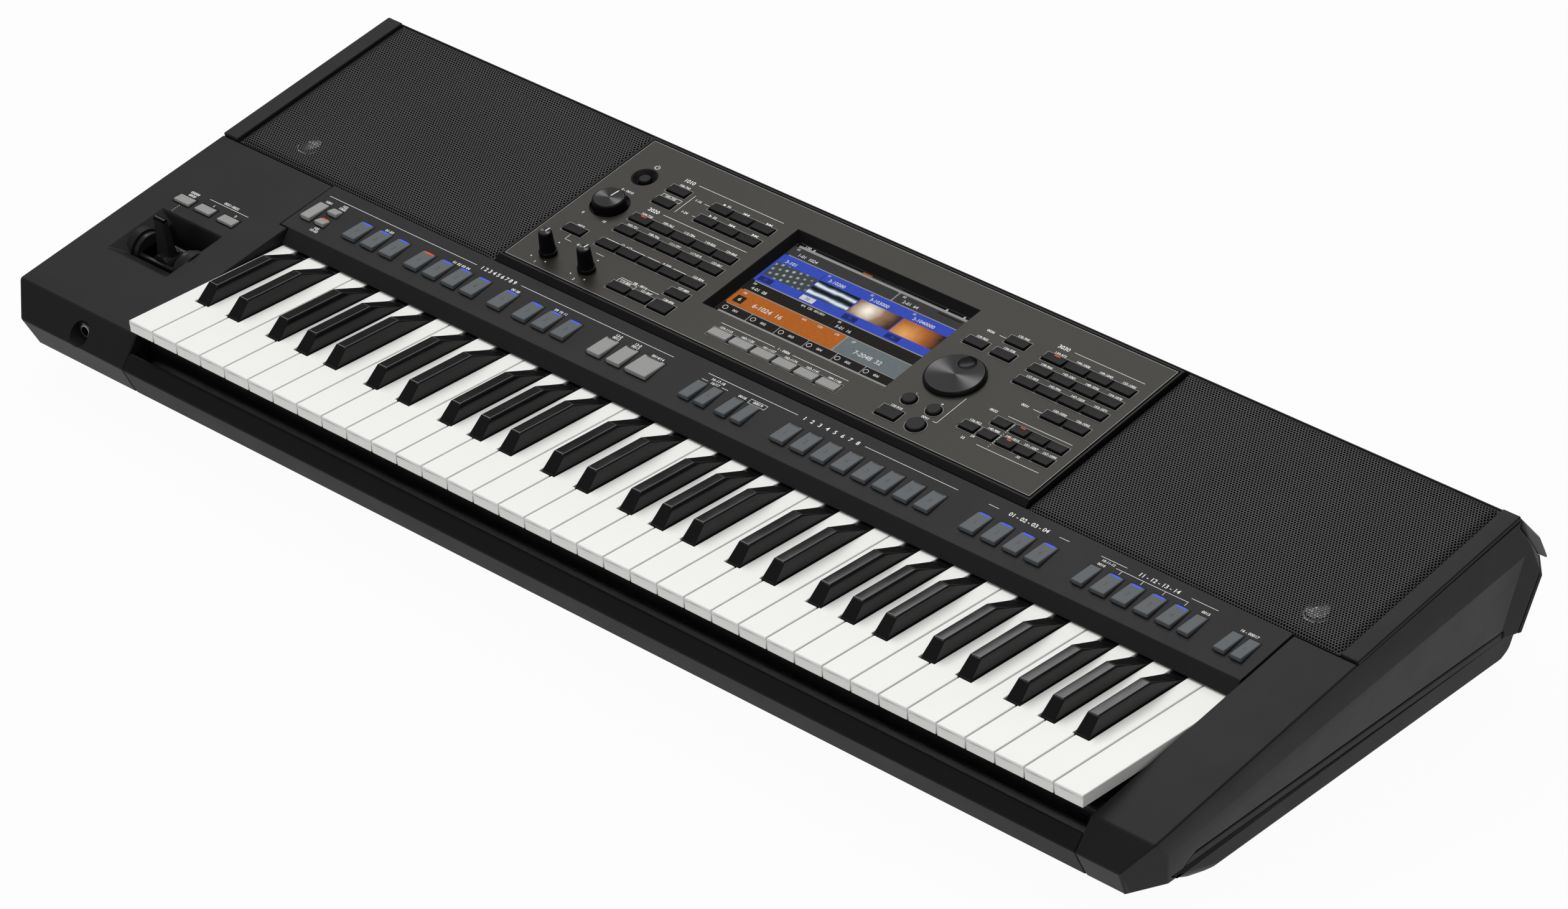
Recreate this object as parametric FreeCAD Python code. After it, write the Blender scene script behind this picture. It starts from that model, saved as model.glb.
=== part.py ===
import FreeCAD, Part
import math
import os

V = FreeCAD.Vector

# Clearances and cutter overrun, shared by the whole instrument
overrun = 3.0
seam_gap = 0.5
button_clearance = 0.4
running_clearance = 0.05
end_clearance = 1.0
motion_gap = 0.4

# Keyboard
white_pitch = 23.5
white_count = 36
key_gap = 1.0
key_depth = 9.5
key_wall = 1.8
key_skin = 2.2
key_heel = 7.0
key_dip = 10.0
lip_depth = 0.5
lip_height = 2.2
visible_length = 143.0
black_front = 50.0
black_slope = 10.5
black_width = 11.4
black_top_width = 8.8
black_rise = 11.5
black_shoulder = 112.0
black_sink = 0.6
black_shift_pair = 3.3
black_shift_triple = 4.2
pivot_back = 205.0
pivot_drop = 5.0
rod_radius = 1.5

# Case, seen from the side; distances run back from the key fronts and up or down from the key tops
left_cheek_width = 119.3
right_cheek_width = 49.9
visor_depth = 51.4
foot_height = 7.4
lower_height = 32.0
seam_drop = 46.0
case_wall = 3.0
deck_angle = 10.58
fall_rise = 11.1
deck_front = 7.1
nose_lead = 7.5
nose_drop = 37.0
slip_share = 0.535
chin_back = 5.0
chin_drop = 60.0
chin_end = 40.0
seam_start = 54.0
floor_front = 64.0
floor_end_inset = 28.5
rear_rim_inset = 37.5
rear_rim_drop = 54.0
rear_bend_drop = 70.5

# Rear visor and rear panel
visor_knee_inset = 13.5
visor_knee_rise = 17.0
visor_tip_drop = 6.0
visor_wall = 8.0
visor_foot_rise = 10.8
rear_wall_inset = 20.5
rear_wall = 3.0
rear_flange_inset = 26.0

# Leaning sides and cut corners
crease_front = 20.6
crease_front_drop = 31.0
crease_rear_inset = 44.9
crease_rear_rise = 19.9
side_lean = 15.0
nose_corner_inset = 15.5
chin_corner_inset = 20.0
chin_corner_back = 21.6
chin_corner_end_inset = 9.1
floor_corner_inset = 20.0
floor_corner_run = 28.0
floor_corner_end_inset = 11.3
floor_corner_top_inset = 7.0
rear_corner_back_inset = 35.5
rear_corner_rise = 21.0
rear_tip_inset = 9.9
rear_wing_back_inset = 43.5
rear_wing_rise = 20.0
rear_wing_inset = 15.5
rear_wing_foot_inset = 39.9
rear_wing_drop = 47.4
rear_wing_end_inset = 12.5

# Control strip and its fall board, laid on the deck
strip_depth = 53.6
fall_gap = 1.6
strip_thickness = 3.0
strip_overhang = 8.0
fall_lead = 7.5
fall_wall = 3.5
fall_clearance = 1.2
strip_rib = 2.0
strip_board_depth = 6.0
board_thickness = 1.6
board_margin = 3.0

# Pads on the control strip
pad_width = 12.0
pad_length = 20.6
pad_front_rise = 3.0
pad_rear_rise = 0.9
pad_root = 4.0
narrow_pad_width = 9.0
wide_pad_width = 19.0
small_pad_length = 7.2

# Rear caps, grilles and speaker baffle
cap_lap = 1.0
cap_width = 14.0
cap_proud = 1.6
cap_seat = 1.5
rear_deck_lap = 8.3
rear_deck_drop = 9.0
rear_deck_thickness = 3.0
grille_sheet = 1.2
grille_rise = 0.9
grille_skirt = 6.0
grille_roll = 5.0
grille_gap = 1.3
woofer_radius = 60.0
woofer_back_share = 0.5
woofer_flange = 7.0
woofer_flange_thickness = 2.0
woofer_depth = 42.0
woofer_magnet_radius = 34.0
woofer_wall = 1.6
cone_throat_radius = 16.0
cone_depth = 22.0
cone_wall = 0.9
tweeter_radius = 20.0
tweeter_inset = 42.0
tweeter_back = 32.0
tweeter_depth = 14.0
tweeter_dome_radius = 9.0
tweeter_dome_rise = 4.0
dome_shoulder_share = 0.87

# Raised panel frame and centre plate
frame_gap = 0.5
frame_rear_gap = 4.6
frame_rise = 3.0
frame_bevel = 4.6
frame_rim = 2.0
frame_ledge = 4.0
plate_groove = 0.8
plate_thickness = 1.6
centre_opening_margin = 17.0
centre_board_margin = 9.0

# Screen
screen_width = 164.5
screen_length = 99.0
screen_front_margin = 34.0
screen_rear_margin = 21.9
left_field_width = 154.85
right_field_width = 153.05
bezel_flange = 3.6
bezel_depth = 5.6
bezel_taper = 3.4
glass_margin = 3.2
glass_thickness = 1.2
lcd_margin = 1.8
lcd_thickness = 5.6

# Panel buttons
button_web = 2.55
button_length = 8.0
button_front_rise = 2.0
button_rear_rise = 0.8
button_root = 3.0
button_travel = 1.2
tall_button_length = 10.6
part_button_web = 2.9
round_button_radius = 5.5
enter_button_radius = 7.0

# Knobs, dial and power button
volume_radius = 12.4
volume_height = 11.6
volume_sink = 2.4
volume_dish_radius = 14.5
live_base_radius = 6.6
live_top_radius = 4.9
live_height = 19.0
live_skirt = 3.0
dial_radius = 21.8
dial_height = 3.0
dial_dish = 0.5
dial_dimple_radius = 6.8
dial_dimple_depth = 1.6
dial_dimple_share = 0.59
power_radius = 4.8
power_dish_radius = 9.7
power_rise = 0.6
dish_lip = 0.6
dish_flange = 1.6
dish_wall = 1.4
knob_edge = 0.8
shaft_radius = 3.0
pot_size = 12.0
pot_height = 7.0

# Joystick in the left cheek
well_left = 26.3
well_width = 61.0
well_front = 66.0
well_length = 54.0
well_border = 11.0
well_border_right = 4.5
well_border_rear = 2.0
well_border_depth = 8.0
well_depth = 35.0
well_wall = 2.0
hood_thickness = 6.0
hood_lip = 1.5
hub_drop = 14.0
hub_radius = 8.0
disc_radius = 14.0
disc_thickness = 4.0
disc_clearance = 1.0
cradle_half_length = 11.0
cradle_plate = 3.0
cradle_crown = 4.5
stick_pin_radius = 2.5
stick_pin_length = 4.0
lever_width = 10.0
lever_thickness = 8.0
lever_tip_share = 0.333
lever_rise = 23.0
joystick_button_gap = 16.0
joystick_button_width = 15.0

# Sockets
jack_from_left = 71.0
jack_drop = 29.8
jack_scoop_radius = 8.2
jack_scoop_depth = 4.5
jack_bore_radius = 3.25
jack_barrel_radius = 4.6
jack_length = 22.0
jack_collar = 1.5
jack_collar_radius = 6.0
rear_jack_drop = 32.0
port_wall = 1.5
port_depth = 14.0
usb_width = 12.6
usb_height = 5.2
host_width = 8.6
host_height = 7.8
inlet_radius = 3.2
inlet_pin_radius = 1.0

# Key action
frame_plate = 2.5
frame_drop = 44.0
frame_start = 14.0
frame_tail = 17.0
stop_start = 18.0
stop_width = 8.0
felt_thickness = 2.0
bracket_width = 3.0
bracket_length = 18.0
bracket_cover = 17.0
contact_start = 96.0
contact_width = 44.0
contact_drop = 30.0
contact_rib = 3.0
rubber_width = 26.0
rubber_base = 1.5
dome_radius = 5.0
dome_tip_radius = 3.5
dome_share = 0.62

# Floor pieces
foot_radius = 11.0
foot_tip_radius = 9.5
post_size = 12.0
post_front_gap = 20.0
boss_radius = 4.0
boss_height = 5.0
screw_head_radius = 3.2
screw_head_height = 2.0
screw_radius = 1.5
screw_length = 9.0
screw_boss_radius = 4.5
screw_boss_height = 14.0
main_board_length = 300.0
amp_board_length = 120.0
amp_board_x = 270.0
board_corner = 8.0
chip_size = 22.0
chip_height = 2.4

# Shares of the control strip's length, from its left end
acmp_share = 0.0126
small_pad_share = 0.0286
style_pad_shares = (0.063, 0.0841, 0.1052, 0.134, 0.1551, 0.1762, 0.1973, 0.2278, 0.2559, 0.277, 0.2981)
sync_pad_shares = (0.338, 0.3591)
start_pad_share = 0.3833
bank_pad_shares = (0.4349, 0.4513, 0.4733, 0.4897)
registration_first_share = 0.5326
registration_step_share = 0.02099
registration_count = 8
one_touch_first_share = 0.7249
one_touch_step_share = 0.02135
one_touch_count = 4
multi_edge_shares = (0.8327, 0.9335)
multi_pad_shares = (0.8523, 0.8726, 0.8937, 0.9148)
octave_pad_shares = (0.9672, 0.9828)
pad_line_share = 0.44
small_pad_line_shares = (0.32, 0.561)

# Shares of the plate's fields, left of the screen, right of it and below it, across from their left ends
left_column_shares = (0.3585, 0.4869, 0.6153, 0.7413, 0.867)
assign_button_share = 0.1565
right_column_shares = (0.4963, 0.6228, 0.7509, 0.879)
part_column_shares = (0.4855, 0.5883, 0.6923, 0.7954, 0.8975)
menu_column_shares = (0.1333, 0.2873)
assign_first_share = 0.2059
assign_step_share = 0.1186
assign_count = 6

# Shares of the plate's length, back from its front edge
row_shares = (0.0935, 0.1999, 0.297, 0.4199, 0.5165, 0.6714, 0.77)
voice_row_shares = (0.5769, 0.674, 0.769)
effect_row_share = 0.4571
part_row_shares = (0.2133, 0.3083)
step_row_share = 0.2131
dial_place_shares = (0.2129, 0.439)
volume_place_shares = (0.1596, 0.5242)
live_place_shares = ((0.1757, 0.1033), (0.4054, 0.1091))
power_place_shares = (0.1516, 0.765)
step_column_shares = (0.1456, 0.2855)

# Shares of the joystick panel, across the left cheek
joystick_button_shares = (0.289, 0.465, 0.657)

# Shares of the whole width, from the middle
foot_x_shares = (-0.44, 0.0, 0.44)
post_x_shares = (-0.34, -0.17, 0.0, 0.17, 0.34)
screw_x_shares = (-0.42, -0.25, -0.08, 0.08, 0.25, 0.42)
rear_jack_shares = (-0.3, -0.25, -0.16, -0.12)
usb_share = 0.1
host_share = 0.16
inlet_share = 0.3

# Shares of the room behind the key posts, for the boards on the floor
board_place_share = 0.594
main_board_share = 0.571
amp_board_share = 0.457

# Shares of the case's depth, back from the key fronts
foot_y_shares = (0.2, 0.84)
screw_y_shares = (0.24, 0.86)

# Places that follow from the sizes above
tilt = math.radians(deck_angle)
keyboard_width = white_pitch * white_count
case_width = left_cheek_width + right_cheek_width + keyboard_width + end_clearance + end_clearance
half_width = case_width / 2
keys_left = -half_width + left_cheek_width + end_clearance
keys_right = keys_left + keyboard_width
key_top_z = foot_height + lower_height + seam_drop
floor_drop = seam_drop + lower_height
strip_front = (visible_length + fall_lead + fall_gap) / math.cos(tilt)
deck_drop = strip_front * math.sin(tilt) - fall_rise
strip_end = strip_front + strip_depth
strip_left = keys_left - strip_overhang
strip_length = keys_right - strip_left
cap_front = strip_end - cap_lap
rear_deck_front = strip_end - rear_deck_lap
plate_width = left_field_width + screen_width + right_field_width
plate_half_width = plate_width / 2
frame_half_width = plate_half_width + plate_groove + frame_rim
frame_front = strip_end + frame_gap
plate_front = frame_front + frame_bevel + frame_rim + plate_groove
plate_length = screen_front_margin + screen_length + screen_rear_margin
plate_end = plate_front + plate_length
frame_end = plate_end + plate_groove + frame_rim
deck_length = frame_end + frame_rear_gap
deck_end = deck_length * math.cos(tilt)
tip_back = deck_end + visor_depth
case_depth = nose_lead + tip_back
key_front_y = nose_lead - case_depth / 2
rear_wall_back = tip_back - rear_wall_inset
floor_end = tip_back - floor_end_inset
rear_rim_inner = tip_back - rear_rim_inset
crease_rear = tip_back - crease_rear_inset
rear_corner_back = tip_back - rear_corner_back_inset
rear_wing_back = tip_back - rear_wing_back_inset
rear_wing_foot_back = tip_back - rear_wing_foot_inset
floor_corner_back = floor_front + floor_corner_run
screen_left = left_field_width - plate_half_width
screen_right = plate_half_width - right_field_width
rear_deck_bottom = -rear_deck_drop - rear_deck_thickness
frame_floor = -rear_deck_drop
plate_floor = frame_rise - plate_thickness
cap_inner = half_width - cap_width
joystick_button_back = well_front + well_length + joystick_button_gap
joystick_x = -half_width + well_left + (well_border + well_width - well_border_right) / 2
joystick_s = well_front + well_border + disc_clearance + disc_radius
cradle_half_width = (well_width - well_border - well_border_right) / 2 - disc_clearance
jack_x = -half_width + jack_from_left
post_front = floor_front + post_front_gap
frame_stop = pivot_back + frame_tail
bracket_front = visible_length + bracket_cover
board_room_front = pivot_back + post_size / 2
board_room = rear_rim_inner - board_room_front
reach = 2 * case_width


def at(back, rise):
    """Side-view point: distance behind the key fronts and above the key tops."""
    return (key_front_y + back, key_top_z + rise)


def deck_rise(back):
    return back * math.tan(tilt) - deck_drop


def box(x0, x1, y0, y1, z0, z1):
    return Part.makeBox(x1 - x0, y1 - y0, z1 - z0, V(x0, y0, z0))


def prism(outline, x0, x1):
    """A side-view outline carried across the width."""
    corners = [V(x0, y, z) for y, z in outline]
    face = Part.Face(Part.makePolygon(corners + corners[:1]))
    return face.extrude(V(x1 - x0, 0, 0))


def inner_prism(outline, wall, x0, x1):
    """The same outline drawn in by a wall on every side."""
    corners = [V(x0, y, z) for y, z in outline]
    face = Part.Face(Part.makePolygon(corners + corners[:1]))
    return face.makeOffset2D(-wall, 2).extrude(V(x1 - x0, 0, 0))


def rod_x(x0, x1, y, z, radius):
    return Part.makeCylinder(radius, x1 - x0, V(x0, y, z), V(1, 0, 0))


def rod_y(x, y0, y1, z, radius):
    return Part.makeCylinder(radius, y1 - y0, V(x, y0, z), V(0, 1, 0))


def rod_z(x, y, z0, z1, radius):
    return Part.makeCylinder(radius, z1 - z0, V(x, y, z0), V(0, 0, 1))


def turned(profile, x, y):
    """A profile of radius and height turned once about an upright axis."""
    corners = [V(x + r, y, z) for r, z in profile]
    face = Part.Face(Part.makePolygon(corners + corners[:1]))
    return face.revolve(V(x, y, 0), V(0, 0, 1), 360)


def fused(shapes):
    return shapes[0].multiFuse(shapes[1:]).removeSplitter()


def group(shapes):
    return Part.makeCompound(shapes)


deck_place = FreeCAD.Placement(V(0, *at(0, -deck_drop)), FreeCAD.Rotation(V(1, 0, 0), deck_angle))


def on_deck(shape):
    """From the deck's own frame (across, back along the slope, up from it) to the instrument's."""
    placed = shape.copy()
    placed.Placement = deck_place.multiply(placed.Placement)
    return placed


def far_side(points, kept):
    """A large block beyond the plane through three points, on the side away from a kept point."""
    a, b, c = points
    normal = (b - a).cross(c - a)
    normal.normalize()
    if normal.dot(kept - a) > 0:
        normal = normal.negative()
    block = box(-reach / 2, reach / 2, -reach / 2, reach / 2, 0, reach)
    block.Placement = FreeCAD.Placement(a, FreeCAD.Rotation(V(0, 0, 1), normal))
    return block


def corner(side, inset, back, rise):
    y, z = at(back, rise)
    return V(side * (half_width - inset), y, z)


middle = V(0, *at(deck_end / 2, 0))


def lean_cut(side, inset):
    """Beyond the leaning lower side, or beyond a plane drawn in from it."""
    points = (corner(side, inset, crease_front, -crease_front_drop),
              corner(side, inset, crease_rear, crease_rear_rise),
              corner(side, inset + side_lean, crease_rear, -seam_drop))
    return far_side(points, middle)


def front_corner_cut(side, inset):
    points = (corner(side, inset, deck_front, deck_rise(deck_front)),
              corner(side, inset + nose_corner_inset, -nose_lead, -nose_drop),
              corner(side, inset, crease_front, -crease_front_drop))
    return far_side(points, middle)


def rear_corner_cut(side, inset):
    points = (corner(side, inset, deck_end, deck_rise(deck_end)),
              corner(side, inset, rear_corner_back, rear_corner_rise),
              corner(side, inset + rear_tip_inset, tip_back, -visor_tip_drop))
    return far_side(points, middle)


def chin_corner_cut(side, inset):
    points = (corner(side, inset + nose_corner_inset, -nose_lead, -nose_drop),
              corner(side, inset + chin_corner_inset, chin_back, -chin_drop),
              corner(side, inset + chin_corner_end_inset, chin_corner_back, -chin_drop))
    return far_side(points, middle)


def floor_corner_cut(side, inset):
    points = (corner(side, inset + floor_corner_top_inset, chin_end, -chin_drop),
              corner(side, inset + floor_corner_inset, floor_front, -floor_drop),
              corner(side, inset + floor_corner_end_inset, floor_corner_back, -floor_drop))
    return far_side(points, middle)


def rear_wing_cut(side, inset):
    points = (corner(side, inset, rear_wing_back, rear_wing_rise),
              corner(side, inset + rear_wing_inset, rear_wing_foot_back, -rear_wing_drop),
              corner(side, inset + rear_wing_end_inset, rear_wall_back, -rear_rim_drop))
    return far_side(points, middle)


def side_cuts(side, inset):
    """The planes that shape an end of the case, drawn in together; the rear wing flares out of the lean."""
    lower = lean_cut(side, inset).common(rear_wing_cut(side, inset))
    return [lower, front_corner_cut(side, inset), chin_corner_cut(side, inset),
            rear_corner_cut(side, inset)]


def visor_inner():
    """Underside of the visor: its front, and the line where it meets the rear panel's inner face."""
    return at(deck_end, deck_rise(deck_end) - visor_wall), at(rear_wall_back - rear_wall, visor_foot_rise)


def visor_lip(back):
    """Height of the visor's underside between the rear panel and the tip."""
    foot_back = rear_wall_back - rear_wall
    slope = (visor_foot_rise + visor_tip_drop) / (tip_back - foot_back)
    return visor_foot_rise - slope * (back - foot_back)


def nose_line(share):
    """A point on the sloped front face, from the deck edge to the nose."""
    back = deck_front + (-nose_lead - deck_front) * share
    top = deck_rise(deck_front)
    return at(back, top + (-nose_drop - top) * share)


def cheek_outline():
    front, foot = visor_inner()
    return [nose_line(0), nose_line(1), at(chin_back, -chin_drop), at(chin_end, -chin_drop),
            at(seam_start, -seam_drop), at(rear_rim_inner, -seam_drop),
            at(rear_rim_inner, -rear_rim_drop), at(rear_wall_back - rear_wall, -rear_rim_drop),
            foot, front, at(deck_end, deck_rise(deck_end))]


def cheek(side, width):
    """End block: a hollow front part, a side wall to the rear, a seat for the cap."""
    inner = half_width - width
    x0, x1 = sorted((side * inner, side * half_width))
    body = prism(cheek_outline(), x0, x1)
    low, high = at(0, -floor_drop)[1], at(0, deck_rise(deck_end))[1]
    block_end = at(cap_front * math.cos(tilt), 0)[0]
    rear = at(tip_back, 0)[0]
    hollow = inner_prism(cheek_outline(), case_wall, x0 + case_wall, x1 - case_wall)
    hollow = hollow.common(box(x0, x1, at(-nose_lead, 0)[0], block_end - case_wall, low, high))
    mouth = box(x0 + case_wall, x1 - case_wall, at(seam_start + case_wall, 0)[0], block_end - case_wall,
                at(0, -seam_drop)[1] - overrun, at(0, -seam_drop)[1] + 2 * case_wall)
    room_edges = sorted((side * (inner - overrun), side * cap_inner))
    room = box(room_edges[0], room_edges[1], block_end, rear + overrun, low, high + overrun)
    for space in (hollow.fuse(mouth), room):
        body = body.cut(space.cut(side_cuts(side, 2 * case_wall)))
    cap_edges = sorted((side * (inner - overrun), side * (half_width + overrun)))
    seat = box(cap_edges[0], cap_edges[1], cap_front, deck_length + overrun,
               -cap_seat, overrun + frame_rise)
    body = body.cut(on_deck(seat))
    return body.cut(side_cuts(side, 0))


def rectangle_wire(x0, x1, s0, s1, w):
    points = [V(x0, s0, w), V(x1, s0, w), V(x1, s1, w), V(x0, s1, w)]
    return Part.makePolygon(points + points[:1])


def well_edges():
    """Joystick well at the bottom of its sloped borders: left, right, front, rear."""
    left = -half_width + well_left
    return (left + well_border, left + well_width - well_border_right,
            well_front + well_border, well_front + well_length - well_border_rear)


def joystick_well():
    left = -half_width + well_left
    x0, x1, s0, s1 = well_edges()
    top = rectangle_wire(left, left + well_width, well_front, well_front + well_length, 0)
    neck = rectangle_wire(x0, x1, s0, s1, -well_border_depth)
    funnel = Part.makeLoft([top, neck], True, True)
    mouth = box(left, left + well_width, well_front, well_front + well_length, 0, overrun)
    shaft = box(x0, x1, s0, s1, -well_depth, -well_border_depth)
    return fused([mouth, funnel, shaft])


def joystick_tub():
    left = -half_width + well_left
    skin = case_wall / 2
    return box(left - well_wall, left + well_width + well_wall, well_front - well_wall,
               well_front + well_length + well_wall, -well_depth - well_wall, -skin)


def joystick_hoods():
    """Round bearings on both sides of the well."""
    x0, x1, s0, s1 = well_edges()
    radius = disc_radius + hood_lip
    left = rod_x(x0 - hood_thickness, x0, joystick_s, -hub_drop, radius)
    return [left, rod_x(x1, x1 + hood_thickness, joystick_s, -hub_drop, radius)]


def jack_place():
    return at(jack_scoop_depth, -jack_drop)


def joystick_button_x():
    return [-half_width + left_cheek_width * share for share in joystick_button_shares]


def left_cheek():
    body = cheek(-1, left_cheek_width)
    y, z = jack_place()
    cup = rod_y(jack_x, at(-nose_lead, 0)[0], y + case_wall, z, jack_scoop_radius + case_wall)
    cup = cup.common(prism(cheek_outline(), -half_width + case_wall, keys_left - end_clearance - case_wall))
    body = fused([body, on_deck(joystick_tub()), cup])
    scoop = rod_y(jack_x, at(-nose_lead, 0)[0] - overrun, y, z, jack_scoop_radius)
    barrel = rod_y(jack_x, y - overrun, y + case_wall + overrun, z, jack_barrel_radius + running_clearance)
    x0, x1, s0, s1 = well_edges()
    pin_reach = stick_pin_length + seam_gap
    pivot_hole = rod_x(x0 - pin_reach, x1 + pin_reach, joystick_s, -hub_drop,
                       stick_pin_radius + running_clearance)
    holes = [button_hole(x, joystick_button_back, joystick_button_width, button_length, 0, case_wall)
             for x in joystick_button_x()]
    notch = box(strip_left - seam_gap, keys_left + overrun, strip_front - seam_gap, cap_front + overrun,
                -pad_root - button_travel - seam_gap, overrun)
    body = body.cut([scoop, barrel] + [on_deck(cut) for cut in [joystick_well(), notch] + holes])
    body = fused([body] + [on_deck(hood) for hood in joystick_hoods()])
    return body.cut(on_deck(pivot_hole))


def right_cheek():
    return cheek(1, right_cheek_width)


def front_rail():
    """Rail below the keys, flush with the sloped fronts of the cheeks."""
    slip = nose_line(slip_share)
    ledge_y = slip[0] + case_wall
    outline = [slip, nose_line(1), at(chin_back, -chin_drop), at(chin_end, -chin_drop),
               at(chin_end, case_wall - chin_drop), at(chin_back + case_wall, case_wall - chin_drop),
               (ledge_y, at(0, -nose_drop)[1]), (ledge_y, slip[1])]
    return prism(outline, keys_left - end_clearance, keys_right + end_clearance)


def lower_outline():
    return [at(seam_start, -seam_drop), at(chin_end, -chin_drop), at(floor_front, -floor_drop),
            at(floor_end, -floor_drop), at(rear_wall_back, -rear_bend_drop),
            at(rear_wall_back, -rear_rim_drop), at(rear_rim_inner, -rear_rim_drop),
            at(rear_rim_inner, -seam_drop)]


def screw_places():
    return [(case_width * a, at(case_depth * b, 0)[0]) for b in screw_y_shares for a in screw_x_shares]


def board_places():
    """Centre and half sizes of the boards on the floor."""
    y = at(board_room_front + board_room * board_place_share, 0)[0]
    return [(0, y, main_board_length / 2, board_room * main_board_share / 2),
            (amp_board_x, y, amp_board_length / 2, board_room * amp_board_share / 2)]


def lower_case():
    """Tray with leaning sides, posts for the key frame, bosses for boards and screws."""
    outline = lower_outline()
    shell = prism(outline, -half_width, half_width)
    room = inner_prism(outline, case_wall, -half_width, half_width)
    mouth = box(-half_width, half_width,
                at(seam_start + case_wall, 0)[0], at(rear_rim_inner - case_wall, 0)[0],
                at(0, -seam_drop)[1] - 2 * case_wall, at(0, -seam_drop)[1] + overrun)
    room = room.fuse(mouth)
    for side in (-1, 1):
        shell = shell.cut([lean_cut(side, 0), floor_corner_cut(side, 0)])
        room = room.cut([lean_cut(side, case_wall), floor_corner_cut(side, 2 * case_wall)])
    shell = shell.cut(room)
    floor_z = at(0, -floor_drop)[1]
    inner_z = floor_z + case_wall
    half_post = post_size / 2
    added = []
    for share in post_x_shares:
        for back in (post_front, pivot_back):
            x, y = case_width * share, at(back, 0)[0]
            added.append(box(x - half_post, x + half_post, y - half_post, y + half_post,
                             inner_z, at(0, -frame_drop)[1]))
    for x, y, a, b in board_places():
        for sx in (-1, 1):
            for sy in (-1, 1):
                added.append(rod_z(x + sx * (a - board_corner), y + sy * (b - board_corner),
                                   inner_z, inner_z + boss_height, boss_radius))
    for x, y in screw_places():
        added.append(rod_z(x, y, inner_z, inner_z + screw_boss_height, screw_boss_radius))
    shell = fused([shell] + added)
    holes = []
    for x, y in screw_places():
        holes.append(rod_z(x, y, floor_z - overrun, floor_z + screw_head_height,
                           screw_head_radius + motion_gap))
        holes.append(rod_z(x, y, floor_z, inner_z + screw_boss_height + overrun,
                           screw_radius + running_clearance))
    return shell.cut(holes)


def case_screws():
    floor_z = at(0, -floor_drop)[1]
    screws = []
    for x, y in screw_places():
        top = floor_z + screw_head_height
        head = rod_z(x, y, floor_z + knob_edge, top, screw_head_radius)
        shank = rod_z(x, y, top, top + screw_length, screw_radius)
        screws.append(fused([head, shank]))
    return group(screws)


def rubber_feet():
    feet = []
    for share_y in foot_y_shares:
        for share_x in foot_x_shares:
            place = V(case_width * share_x, at(case_depth * share_y, 0)[0], 0)
            feet.append(Part.makeCone(foot_tip_radius, foot_radius, foot_height, place))
    return group(feet)


def pad_outline(s, length, front_rise, rear_rise, root, base):
    return [(s - length / 2, base - root), (s - length / 2, base + front_rise),
            (s + length / 2, base + rear_rise), (s + length / 2, base - root)]


def pad(x, s, width, length):
    outline = pad_outline(s, length, pad_front_rise, pad_rear_rise, pad_root, 0)
    return prism(outline, x - width / 2, x + width / 2)


def button(x, s, width, length, base):
    outline = pad_outline(s, length, button_front_rise, button_rear_rise, button_root, base)
    return prism(outline, x - width / 2, x + width / 2)


def button_hole(x, s, width, length, base, skin):
    half_x, half_s = width / 2 + button_clearance, length / 2 + button_clearance
    return box(x - half_x, x + half_x, s - half_s, s + half_s, base - skin - overrun, base + overrun)


def strip_x(share):
    return strip_left + strip_length * share


def strip_s(share):
    return strip_front + (strip_end - strip_front) * share


def stepped(first, step, count):
    return [first + step * number for number in range(count)]


def pad_tables():
    """Every pad on the control strip: group, across, back, width, length."""
    line = strip_s(pad_line_share)
    rows = [("style", strip_x(share), line, pad_width, pad_length) for share in style_pad_shares]
    rows.append(("transport", strip_x(acmp_share), line, narrow_pad_width, pad_length))
    for share in small_pad_line_shares:
        rows.append(("transport", strip_x(small_pad_share), strip_s(share),
                     narrow_pad_width, small_pad_length))
    for share in sync_pad_shares:
        rows.append(("transport", strip_x(share), line, pad_width, pad_length))
    rows.append(("transport", strip_x(start_pad_share), line, wide_pad_width, pad_length))
    for share in bank_pad_shares:
        rows.append(("registration", strip_x(share), line, narrow_pad_width, pad_length))
    for share in stepped(registration_first_share, registration_step_share, registration_count):
        rows.append(("registration", strip_x(share), line, pad_width, pad_length))
    for share in stepped(one_touch_first_share, one_touch_step_share, one_touch_count):
        rows.append(("one_touch", strip_x(share), line, pad_width, pad_length))
    for share in multi_edge_shares + octave_pad_shares:
        rows.append(("multi", strip_x(share), line, narrow_pad_width, pad_length))
    for share in multi_pad_shares:
        rows.append(("multi", strip_x(share), line, pad_width, pad_length))
    return rows


def pads(kind):
    return on_deck(group([pad(x, s, w, n) for name, x, s, w, n in pad_tables() if name == kind]))


def control_strip():
    """Sloped strip above the keys with its fall board, ribs and pad holes."""
    plate = on_deck(box(strip_left, keys_right, strip_front, strip_end, -strip_thickness, 0))
    front_back = strip_front * math.cos(tilt)
    top = deck_rise(front_back)
    board = [at(front_back, top), at(front_back - fall_lead, fall_clearance),
             at(front_back - fall_lead + fall_wall, fall_clearance),
             at(front_back + fall_wall, top - strip_thickness), at(front_back + fall_wall, top)]
    fall = prism(board, keys_left, keys_right)
    ribs = []
    for s in (strip_front + board_margin + strip_rib, strip_end - board_margin):
        rib = box(keys_left, keys_right, s - strip_rib, s, -strip_board_depth, 0)
        ribs.append(on_deck(rib))
    holes = [on_deck(button_hole(x, s, w, n, 0, strip_thickness)) for _, x, s, w, n in pad_tables()]
    body = fused([plate, fall] + ribs)
    above = on_deck(box(strip_left, keys_right, strip_front - overrun, strip_end, 0, overrun))
    return body.cut(above).cut(holes)


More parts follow.
